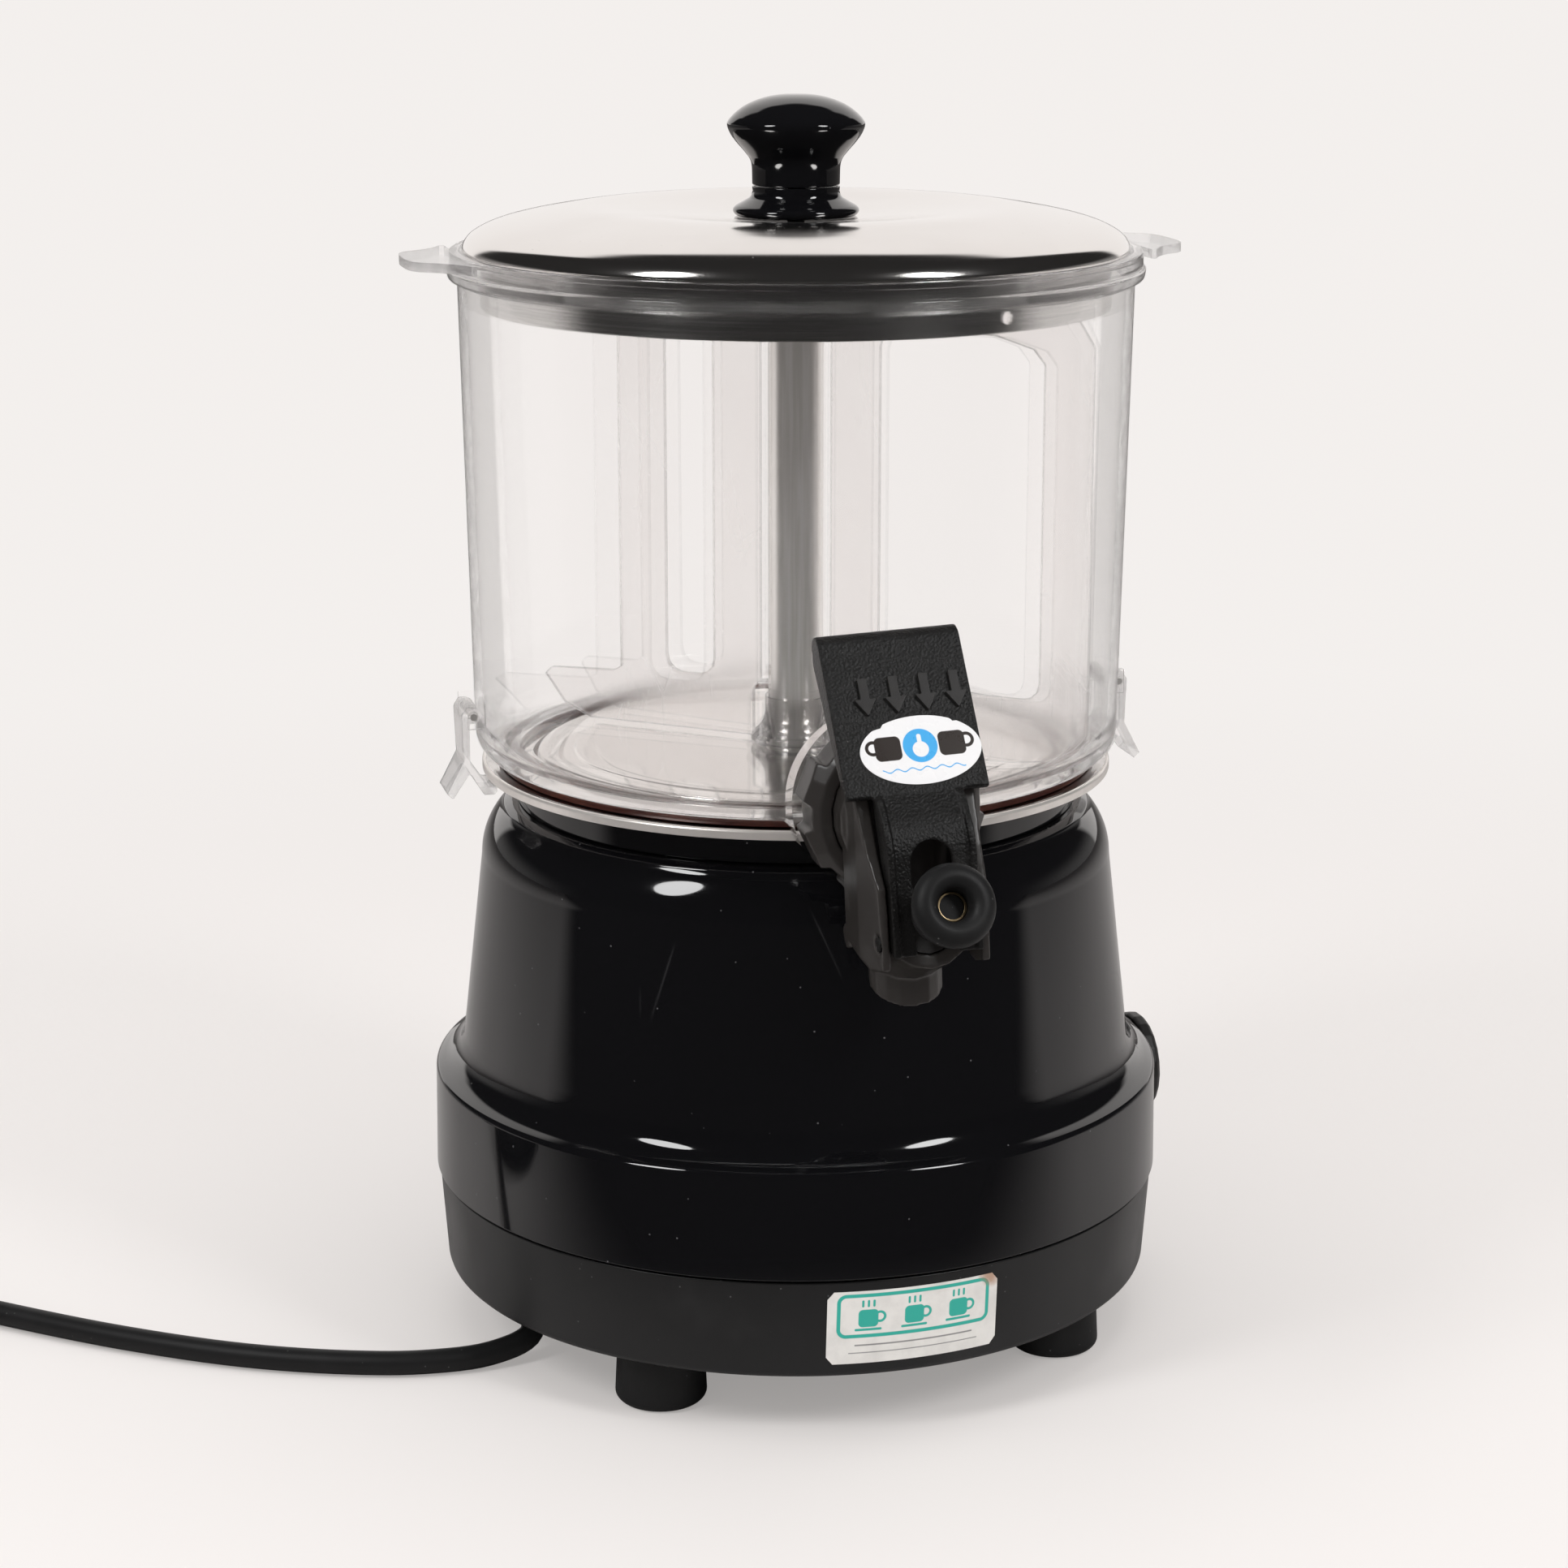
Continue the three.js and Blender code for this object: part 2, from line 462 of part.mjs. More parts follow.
// A tube with flat ends through the given points, its rings square to the path.
function tube(points, radius, sides) {
  const rings = points.length;
  const positions = [];
  const index = [];
  const ahead = (i) => points[Math.min(i + 1, rings - 1)].clone().sub(points[Math.max(i - 1, 0)]).normalize();
  const normal = new THREE.Vector3(0, 0, 1).projectOnPlane(ahead(0));
  if (normal.length() < 0.5) normal.set(1, 0, 0).projectOnPlane(ahead(0));
  for (let i = 0; i < rings; i += 1) {
    const along = ahead(i);
    normal.projectOnPlane(along).normalize();
    const side = new THREE.Vector3().crossVectors(along, normal);
    for (let j = 0; j < sides; j += 1) {
      const angle = 2 * Math.PI * (j + 0.5) / sides;
      const point = points[i].clone().addScaledVector(normal, radius * Math.cos(angle))
        .addScaledVector(side, radius * Math.sin(angle));
      positions.push(point.x, point.y, point.z);
    }
  }
  const at = (i, j) => i * sides + (j % sides);
  for (let i = 0; i + 1 < rings; i += 1) {
    for (let j = 0; j < sides; j += 1) {
      index.push(at(i, j), at(i, j + 1), at(i + 1, j + 1), at(i, j), at(i + 1, j + 1), at(i + 1, j));
    }
  }
  for (let j = 1; j + 1 < sides; j += 1) {
    index.push(at(0, 0), at(0, j + 1), at(0, j));
    index.push(at(rings - 1, 0), at(rings - 1, j), at(rings - 1, j + 1));
  }
  const geometry = new THREE.BufferGeometry();
  geometry.setAttribute('position', new THREE.Float32BufferAttribute(positions, 3));
  geometry.setIndex(index);
  return geometry;
}

// The drive

const pinionTeeth = gears.teeth / gears.ratio;
const pinionPitch = gears.pitchRadius / gears.ratio;
const gearDistance = gears.pitchRadius + pinionPitch;
const gearHeight = caseFloor + gearCase.wall + gears.width * 0.4;

function toothed(pitchRadius, teeth, bore, turn) {
  const pitch = 2 * Math.PI / teeth;
  const tip = pitchRadius + gears.toothHeight * gears.addendumShare;
  const root = tip - gears.toothHeight;
  const points = [];
  for (let i = 0; i < teeth; i += 1) {
    const middle = turn + i * pitch;
    const rootHalf = pitch * gears.rootThicknessShare / 2;
    const tipHalf = pitch * gears.tipThicknessShare / 2;
    for (const [radius, angle] of [[root, -rootHalf], [tip, -tipHalf], [tip, tipHalf], [root, rootHalf]]) {
      points.push([radius * Math.cos(middle + angle), radius * Math.sin(middle + angle)]);
    }
  }
  const hole = Array.from({ length: pinSides }, (_, i) => {
    const angle = -2 * Math.PI * i / pinSides;
    return [bore * Math.cos(angle), bore * Math.sin(angle)];
  });
  return extruded(outlineOf(points, [hole]), gears.width).translate(0, 0, gearHeight);
}

function driveGear() {
  return toothed(gears.pitchRadius, gears.teeth, shaft.radius + gap, Math.PI / 2);
}

function motorPinion() {
  const pitch = 2 * Math.PI / pinionTeeth;
  return toothed(pinionPitch, pinionTeeth, motor.shaftRadius + gap, -Math.PI / 2 + pitch / 2)
    .translate(0, gearDistance, 0);
}

function caseOutline(grow) {
  const large = gears.pitchRadius + gears.toothHeight + gearCase.room + grow;
  const small = pinionPitch + gears.toothHeight + gearCase.room + grow;
  const lean = THREE.MathUtils.radToDeg(Math.asin((large - small) / gearDistance));
  return [...arc(0, 0, large, 180 - lean, 360 + lean, arcSteps * 4),
    ...arc(0, gearDistance, small, lean, 180 - lean, arcSteps * 2)];
}

function gearBox() {
  const tub = extruded(outlineOf(caseOutline(gearCase.wall)), gearCase.height).translate(0, 0, caseFloor);
  const room = extruded(outlineOf(caseOutline(0)), gearCase.height + overrun)
    .translate(0, 0, caseFloor + gearCase.wall);
  const bearing = disc(shaft.radius + running / 2, caseFloor + gearCase.wall / 2, caseFloor + overrun);
  const motorHole = disc(motor.neck + gap, caseFloor - overrun, caseFloor + overrun)
    .translate(0, gearDistance, 0);
  return cut(tub, room, bearing, motorHole);
}

function gearCover() {
  const low = caseFloor + gearCase.height + gap;
  const plateGeometry = extruded(outlineOf(caseOutline(gearCase.wall)), gearCase.cover).translate(0, 0, low);
  return cut(plateGeometry, disc(shaft.radius + running / 2, low - overrun, low + overrun));
}

function motorCan() {
  const top = caseFloor - bracket.sheet - gap * 2;
  const neckTop = caseFloor + motor.neckHeight / 2;
  return turned([[0, top - motor.length], [motor.radius - motor.neckHeight, top - motor.length],
    [motor.radius, top - motor.length + motor.neckHeight], [motor.radius, top], [motor.neck, top],
    [motor.neck, neckTop], [motor.shaftRadius + running, neckTop], [motor.shaftRadius + running, top],
    [0, top]], smallSides).translate(0, gearDistance, 0);
}

function pinionShaft() {
  const top = caseFloor - bracket.sheet - gap * 2;
  return disc(motor.shaftRadius, top + gap, gearHeight + gears.width + gap, pinSides)
    .translate(0, gearDistance, 0);
}

function motorBracket() {
  const floor = panBottom + pan.floor + gap;
  const half = bracket.span / 2;
  const top = caseFloor - gap;
  const { sheet, footLength } = bracket;
  const footEnd = half + footLength;
  const outside = half + sheet;
  const outline = [[-footEnd, floor], [-half, floor], [-half, top - sheet], [half, top - sheet],
    [half, floor],
    [footEnd, floor], [footEnd, floor + sheet], [outside, floor + sheet], [outside, top], [-outside, top],
    [-outside, floor + sheet], [-footEnd, floor + sheet]];
  const hole = disc(motor.neck + gap, top - overrun, top + overrun).translate(0, gearDistance, 0);
  return cut(sideways(outline, bracket.width).rotateZ(Math.PI / 2).translate(0, gearDistance / 3, 0), hole);
}

function driveShaft() {
  return disc(shaft.radius, caseFloor + gearCase.wall / 2 + gap, shaftTop, pinSides);
}

function columnTube() {
  return turned([[column.bore, columnFoot], [column.footRadius, columnFoot],
    [column.footRadius, columnFoot + column.footSheet], [column.radius, columnFoot + column.footSheet],
    [column.radius, columnTop], [column.bore, columnTop]], smallSides);
}

function columnBush() {
  const lipFoot = columnTop + gap;
  return turned([[shaft.radius + running / 2, lipFoot - bush.length],
    [column.bore - gap, lipFoot - bush.length],
    [column.bore - gap, lipFoot], [bush.lipRadius, lipFoot], [bush.lipRadius, lipFoot + bush.lip],
    [shaft.radius + running / 2, lipFoot + bush.lip]], smallSides);
}

function shaftSeal() {
  const top = columnFoot - gap;
  return ring(shaft.radius + running / 2, seal.radius, top - seal.height, top, smallSides);
}

// The mixer, drawn flat in [distance, height] and stood on its edge

function mixerOutline() {
  const floor = mixerFloor;
  const armTop = floor + mixer.armHeight;
  const bladeTop = floor + mixer.bladeHeight;
  const top = mixerTop;
  const left = -mixerReach + mixer.leftShort;
  const outerBar = -mixer.leftOuterBar - mixer.leftOuterWidth;
  return [[mixer.hubSlot, floor], [mixerReach - mixer.lowCornerRun, floor],
    [mixerReach - mixer.lowCornerRun * 0.3, floor + mixer.lowCornerRise * 0.45],
    [mixerReach, floor + mixer.lowCornerRise], [mixerReach, top - mixer.topChamferRise],
    [mixerReach - mixer.topChamferRun * 0.3, top - mixer.topChamferRise * 0.45],
    [mixerReach - mixer.topChamferRun, top], [outerBar, top], [outerBar, floor + mixer.leftWindowFoot],
    [outerBar - mixer.windowRound / 2, armTop + mixer.armTipDrop / 2],
    [left + mixer.armTipDrop, armTop], [left, armTop - mixer.armTipDrop],
    [left + mixer.tipSweep * 0.42, floor + mixer.armHeight * 0.28], [left + mixer.tipSweep, floor],
    [-mixer.hubSlot, floor], [-mixer.hubSlot, armTop], [-mixer.innerBar, armTop + mixer.windowRound / 2],
    [-mixer.innerBar, top - mixer.bridgeHeight], [mixer.innerBar, top - mixer.bridgeHeight],
    [mixer.innerBar, bladeTop], [mixer.hubSlot, bladeTop - mixer.windowRound / 2]];
}

// A window with round corners.
function windowOf(left, right, low, high, round) {
  return [...arc(left + round, low + round, round, 270, 180, cornerSteps),
    ...arc(left + round, high - round, round, 180, 90, cornerSteps),
    ...arc(right - round, high - round, round, 90, 0, cornerSteps),
    ...arc(right - round, low + round, round, 0, -90, cornerSteps)];
}

function mixerPaddle() {
  const railFoot = mixerTop - mixer.topRailHeight;
  const leftWindow = windowOf(-mixer.leftOuterBar, -mixer.innerBar - mixer.barWidth,
    mixerFloor + mixer.leftWindowFoot, railFoot, mixer.windowRound);
  const right = mixer.rightOuterBar;
  const inner = mixer.innerBar + mixer.barWidth;
  const low = mixerFloor + mixer.bladeHeight;
  const round = mixer.windowRound;
  const rightWindow = [...arc(inner + round, low + round, round, 270, 180, cornerSteps),
    ...arc(inner + round, railFoot - round, round, 180, 90, cornerSteps),
    [right - mixer.railDropRun, railFoot],
    [right - mixer.railDrop, railFoot - mixer.railDrop], [right, railFoot - mixer.railDrop * 2.2],
    ...arc(right - round, low + round, round, 0, -90, cornerSteps)];
  const sheet = extruded(outlineOf(mixerOutline(), [leftWindow, rightWindow]), mixer.sheet);
  return sheet.translate(0, 0, -mixer.sheet / 2).rotateX(Math.PI / 2);
}

function mixerHub() {
  const bore = column.radius + hub.wall;
  const foot0 = mixerFloor;
  return turned([[bore, foot0], [hub.skirt - 1.4 * hub.wall, foot0], [hub.skirt, foot0 + hub.skirtHeight / 2],
    [hub.skirt - hub.wall, foot0 + hub.skirtHeight], [hub.radius + hub.wall, foot0 + hub.flareHeight],
    [hub.radius, foot0 + hub.height], [bore, foot0 + hub.height]], smallSides);
}

// The cap turns with the shaft and carries the mixer's bridge in a slot across its top.
function mixerCap() {
  const low = capFoot;
  const inner = shaft.radius + gap;
  const top = low + cap.height;
  const body = turned([[inner, low], [cap.radius, low], [cap.radius, top - cap.edge],
    [cap.radius - cap.edge, top], [0, top], [0, shaftTop + gap], [inner, shaftTop + gap]], smallSides);
  const slotFloor = mixerTop - mixer.bridgeHeight - gap;
  return cut(body, block(cap.radius * 3, mixer.sheet + gap * 2, cap.height * 2, 0, 0,
    slotFloor + cap.height));
}

// The bowl

function bowlOutline() {
  const inner = bowlLowRadius - bowl.wall;
  const innerTop = bowlTopRadius - bowl.wall;
  const outerCorner = arc(bowlLowRadius - bowl.cornerRound, bowlFoot + bowl.cornerRound, bowl.cornerRound,
    -90, 0, cornerSteps);
  const innerCorner = arc(inner - bowl.innerRound, bowlFoot + bowl.wall + bowl.innerRound, bowl.innerRound,
    0, -90, cornerSteps);
  return [[bowlOpening, bowlFoot], ...outerCorner, [bowlTopRadius, wallEnd],
    [lipRadius, wallEnd], [lipRadius, wallEnd + bowl.lipHeight],
    [collarRadius, wallEnd + bowl.lipHeight], [collarRadius, collarTop], [innerTop, collarTop],
    [innerTop, wallEnd], ...innerCorner, [bowlOpening, bowlFoot + bowl.wall]];
}

function handleTab(side) {
  const root = bowlTopRadius - bowl.wall / 2;
  const tip = collarRadius + tab.length - tab.tipRound;
  const rise = tab.tipHalfWidth - tab.tipRound / 2;
  const shape = outlineOf([[root, -tab.halfWidth], [collarRadius, -tab.halfWidth],
    ...arc(tip, -rise, tab.tipRound, -tab.tipSweep, 0, 2), ...arc(tip, rise, tab.tipRound, 0,
    tab.tipSweep, 2),
    [collarRadius, tab.halfWidth], [root, tab.halfWidth]]);
  const made = extruded(shape, tab.thickness);
  if (side < 0) made.rotateZ(Math.PI);
  return made.translate(0, 0, wallEnd + bowl.lipHeight + bowl.collarHeight / 2 - tab.thickness / 2);
}

// Two thin ears that carry a latch pin, on the side given by the sign.
function latchEars(side) {
  const middle = bowlFoot + ear.rise;
  const start = bowlLowRadius - bowl.wall / 2;
  const end = bowlLowRadius + ear.out;
  return [-1, 1].map((half) => block(end - start, ear.thickness, ear.height,
    side * (start + end) / 2, half * ear.spacing, middle));
}

function bowlPiece() {
  const shell = turned(bowlOutline(), ringSides);
  const boss = bar(tap.bossRadius, [0, -bowlOpening, tapHeight], [0, -tapFace, tapHeight], wideSides);
  const thread = bar(tap.threadRadius, [0, -bowlOpening, tapHeight], [0, -threadEnd, tapHeight], wideSides);
  const inside = turned([[0, bowlFoot - tap.bossRadius], [bowlOpening, bowlFoot - tap.bossRadius],
    [bowlOpening, bowlFoot + bowl.wall],
    ...arc(bowlLowRadius - bowl.wall - bowl.innerRound, bowlFoot + bowl.wall + bowl.innerRound,
    bowl.innerRound,
      -90, 0, cornerSteps), [bowlTopRadius - bowl.wall, wallEnd], [0, wallEnd]], ringSides);
  const rimRoom = disc(plateRim + gap * 3, bowlFoot - tap.bossRadius - overrun, bowlFoot, ringSides);
  const hole = bar(tap.bore, [0, -bowlOpening + overrun, tapHeight],
    [0, -threadEnd - overrun, tapHeight], smallSides);
  const pins = [-1, 1].map((side) => bar(latch.pinRadius + gap,
    [side * pinReach, -ear.spacing - overrun, bowlFoot + ear.rise],
    [side * pinReach, ear.spacing + overrun, bowlFoot + ear.rise]));
  const bossOnly = cut(join(boss, thread), inside, rimRoom);
  const solid = join(shell, bossOnly, handleTab(1), handleTab(-1), ...latchEars(1), ...latchEars(-1));
  return cut(solid, hole, ...pins);
}

function latchPin(side) {
  const out = ear.spacing + ear.thickness / 2;
  const middle = bowlFoot + ear.rise;
  return bar(latch.pinRadius, [side * pinReach, -out, middle], [side * pinReach, out, middle]);
}

// A clip that hangs from its pin, hooks under the plate's rim and ends in a finger tab.
function latchClip(side) {
  const pivot = bowlFoot + ear.rise;
  const { sheet, armDrop, rimRoom, tabDrop, barrel } = latch;
  const armReach = pinReach + latch.armOut;
  const tabReach = pinReach + latch.tabOut;
  const hookReach = plateRim - latch.hookBite;
  const shoulder = pivot + barrel;
  const hookTop = rimTop - plate.rimLip - gap;
  const heel = plateRim + rimRoom;
  const outline = [[pinReach, shoulder], [armReach - sheet * 0.6, shoulder], [armReach, shoulder - sheet],
    [armReach - sheet * 0.2, pivot - armDrop], [tabReach, pivot - tabDrop],
    [tabReach - sheet * 0.75, pivot - tabDrop - sheet * 0.7],
    [armReach - sheet * 0.9, pivot - armDrop - sheet * 1.6], [heel + sheet * 0.5, hookTop - sheet],
    [hookReach + sheet * 0.3, hookTop - sheet], [hookReach, hookTop - sheet * 0.6], [hookReach, hookTop],
    [heel, hookTop], [armReach - sheet, pivot - armDrop - sheet * 0.2],
    [armReach - sheet, shoulder - sheet * 1.6], [pinReach, shoulder - sheet * 1.7]];
  const eye = bar(barrel, [-latch.width / 2, -pinReach, pivot], [latch.width / 2, -pinReach, pivot]);
  const bored = cut(join(sideways(outline, latch.width), eye), bar(latch.pinRadius + gap,
    [-latch.width, -pinReach, pivot], [latch.width, -pinReach, pivot]));
  return bored.rotateZ(side * Math.PI / 2);
}

// The tap, reaching towards -Y from the bowl

function tapNut() {
  const lobeHalf = 180 / nut.lobes * nut.lobeShare;
  const points = [];
  for (let i = 0; i < nut.lobes; i += 1) {
    const middle = 360 / nut.lobes * (i + 0.5);
    const valley = middle + 360 / nut.lobes - lobeHalf * 1.15;
    points.push(...arc(0, 0, nut.radius + nut.lobe, middle - lobeHalf, middle + lobeHalf, 1));
    points.push(...arc(0, 0, nut.radius, middle + lobeHalf * 1.15, valley, 2));
  }
  const lobed = extruded(outlineOf(points), nut.length).rotateX(Math.PI / 2)
    .translate(0, -nutStart, tapHeight);
  const wide = nut.radius + nut.lobe * 2;
  const cone = turned([[0, nutStart], [wide, nutStart], [wide, nutEnd - nut.frontSlope * 2],
    [nut.faceRadius, nutEnd], [0, nutEnd]], wideSides).rotateX(Math.PI / 2).translate(0, 0, tapHeight);
  const lipStart = nutEnd - nut.lip;
  const bore = bar(tap.threadRadius + gap, [0, -nutStart + overrun, tapHeight], [0, -lipStart, tapHeight],
    wideSides);
  const throat = bar(tap.barrelRadius + gap, [0, -lipStart + overrun, tapHeight],
    [0, -nutEnd - overrun, tapHeight], wideSides);
  return cut(common(lobed, cone), bore, throat);
}

const washerStart = threadEnd + gap;
const bodyStart = washerStart + tap.washer + gap;

function tapWasher() {
  return ring(tap.bore, tap.threadRadius - gap, washerStart, washerStart + tap.washer, wideSides)
    .rotateX(Math.PI / 2).translate(0, 0, tapHeight);
}

// A point of the piston's line, from its distance past the seat.
function onPiston(distance) {
  const tilt = radians(piston.tilt);
  return [0, -(tapFace + piston.seatOut + distance * Math.cos(tilt)),
    tapHeight - piston.seatDrop + distance * Math.sin(tilt)];
}

// One of the two slanted cuts that narrow the cheeks towards the front.
function cheekWedge(sign) {
  const wide = cheek.rearHalf + overrun;
  const start = cheekRear + cheek.topOut;
  const wedge = outlineOf([[cheek.rearHalf, -start], [wide, -start], [wide, -cheekFront - overrun],
    [cheek.frontHalf, -cheekFront - overrun]]);
  const made = extruded(wedge, tapHeight).translate(0, 0, cheekFoot - overrun);
  return sign > 0 ? made : toGeometry(toSolid(made).mirror([1, 0, 0]));
}

function tapCheeks() {
  const front = cheekRear + cheek.frontOut;
  const yoke = sideways([[cheekRear, tapHeight - cheek.rearFootDrop], [cheekRear + cheek.footOut, cheekFoot],
    [cheekFront - gap, cheekFoot + overrun / 2], [cheekFront, tapHeight - cheek.lowFrontDrop],
    [front, tapHeight - cheek.frontDrop], [cheekRear + cheek.shoulderOut, tapHeight - cheek.shoulderDrop],
    [cheekRear + cheek.topOut, tapHeight + cheek.topRise], [cheekRear, tapHeight + cheek.rearRise]],
  cheek.rearHalf * 2);
  const slotStart = cheekRear + cheek.web;
  const slot = block(cheek.slot * 2, cheekFront, tapHeight, 0, -slotStart - cheekFront / 2,
    cheekFoot + tapHeight / 2 - overrun);
  return cut(yoke, slot, cheekWedge(1), cheekWedge(-1));
}

function tapBody() {
  const collarEnd = nutEnd - nut.lip - gap;
  const barrelEnd = tapFace + tap.barrelLength;
  const coneEnd = barrelEnd + tap.coneLength;
  const barrel = turned([[0, bodyStart], [tap.threadRadius - gap, bodyStart],
    [tap.threadRadius - gap, collarEnd],
    [tap.barrelRadius, collarEnd], [tap.barrelRadius, barrelEnd], [tap.coneRadius, coneEnd],
    [0, coneEnd]], wideSides).rotateX(Math.PI / 2).translate(0, 0, tapHeight);
  const nutRoom = bar(nut.radius + nut.lobe + gap * 2, [0, -nutStart + overrun * 2, tapHeight],
    [0, -nutEnd - gap, tapHeight], wideSides);
  const pipe = disc(tap.pipeRadius, pipeFoot, tapHeight + tap.pipeTop, wideSides).translate(0, -pipeReach, 0);
  const spoutBlank = disc(tap.spoutRadius, spoutFoot, pipeFoot + gap, smallSides).translate(0,
    -spoutReach, 0);
  const slant = block(tap.spoutRadius * 4, tap.spoutRadius * 4, tap.spoutRadius * 2, 0, 0, -tap.spoutRadius)
    .rotateX(Math.atan(tap.spoutSlant / tap.spoutRadius)).translate(0, -spoutReach,
    spoutFoot + tap.spoutSlant);
  const tubePiece = bar(piston.tubeRadius, onPiston(0), onPiston(piston.tubeLength), smallSides);
  const lugHeight = pipeFoot - tap.footLugDrop;
  const lug = bar(tap.footLugRadius, [-tap.footLugSide - tap.footLugRadius, -spoutReach, lugHeight],
    [tap.footLugSide, -spoutReach, lugHeight]);
  const whole = join(barrel, cut(join(pipe, tubePiece), nutRoom), spoutBlank, tapCheeks(), lug);
  const inlet = bar(tap.bore, [0, -bodyStart + overrun, tapHeight], [0, -pipeReach - overrun / 2, tapHeight]);
  const well = disc(tap.spoutBore, spoutFoot - overrun, tapHeight, smallSides).translate(0, -spoutReach, 0);
  const bore = bar(piston.bore, onPiston(piston.plugInner - running), onPiston(piston.tubeLength + overrun),
    smallSides);
  const trunnions = bar(lever.trunnion + gap, [-cheek.rearHalf - overrun, -pivotReach, pivotHeight],
    [cheek.rearHalf + overrun, -pivotReach, pivotHeight]);
  return cut(whole, inlet, well, bore, trunnions, slant);
}

// The piston's pieces are turned upright and then laid on its line.
function laidOnPiston(geometry) {
  return geometry.rotateX(Math.PI / 2 - radians(piston.tilt)).translate(...onPiston(0));
}

function pistonPlug() {
  const { plug: radius, plugInner, plugLength, sealLength, sealGroove, rod } = piston;
  const grooveStart = plugInner + (plugLength - sealLength) / 2;
  return laidOnPiston(turned([[0, plugInner], [radius - sealGroove, plugInner],
    [radius, plugInner + sealGroove],
    [radius, grooveStart], [radius - sealGroove, grooveStart], [radius - sealGroove,
    grooveStart + sealLength],
    [radius, grooveStart + sealLength], [radius, plugInner + plugLength], [rod, plugInner + plugLength],
    [rod, piston.collarStart - gap], [0, piston.collarStart - gap]], smallSides));
}

function pistonSeal() {
  const start = piston.plugInner + (piston.plugLength - piston.sealLength) / 2 + gap;
  return laidOnPiston(ring(piston.plug - piston.sealGroove + gap, piston.bore - gap, start,
    start + piston.sealLength - gap * 2, smallSides));
}

function pistonGuide() {
  const end = piston.tubeLength - gap;
  return laidOnPiston(ring(piston.rod + running, piston.bore - gap, end - piston.guideLength, end,
    smallSides));
}

// The closing spring: one unbroken wire between the plug and the guide.
function pistonSpring() {
  const start = piston.plugInner + piston.plugLength + gap + piston.springWire;
  const end = piston.tubeLength - gap * 2 - piston.guideLength - piston.springWire;
  const stepsPerCurl = 8;
  const steps = piston.springCurls * stepsPerCurl;
  const points = Array.from({ length: steps + 1 }, (_, i) => {
    const angle = 2 * Math.PI * i / stepsPerCurl;
    return new THREE.Vector3(piston.springRadius * Math.cos(angle), piston.springRadius * Math.sin(angle),
      start + (end - start) * i / steps);
  });
  return laidOnPiston(tube(points, piston.springWire, 5));
}

function pistonButton() {
  const { collarStart, collarLength, collarRadius, neck, buttonStart, buttonRadius, buttonLength, buttonRound,
    buttonHole, buttonHoleDepth } = piston;
  const end = buttonStart + buttonLength;
  return laidOnPiston(turned([[0, collarStart], [collarRadius, collarStart],
    [collarRadius, collarStart + collarLength], [neck, collarStart + collarLength * 2],
    [neck, buttonStart], [buttonRadius - buttonRound, buttonStart],
    [buttonRadius, buttonStart + buttonRound], [buttonRadius, end - buttonRound],
    [buttonRadius - buttonRound * 0.3, end - buttonRound * 0.3], [buttonRadius - buttonRound * 1.2, end],
    [buttonHole, end - buttonRound / 4], [buttonHole, end - buttonHoleDepth], [0, end - buttonHoleDepth]],
  smallSides));
}

function buttonRing() {
  const end = piston.buttonStart + piston.buttonLength - piston.clipDepth;
  return laidOnPiston(ring(piston.buttonHole - gap - piston.clip * 1.4, piston.buttonHole - gap,
    end - piston.clip, end, smallSides));
}

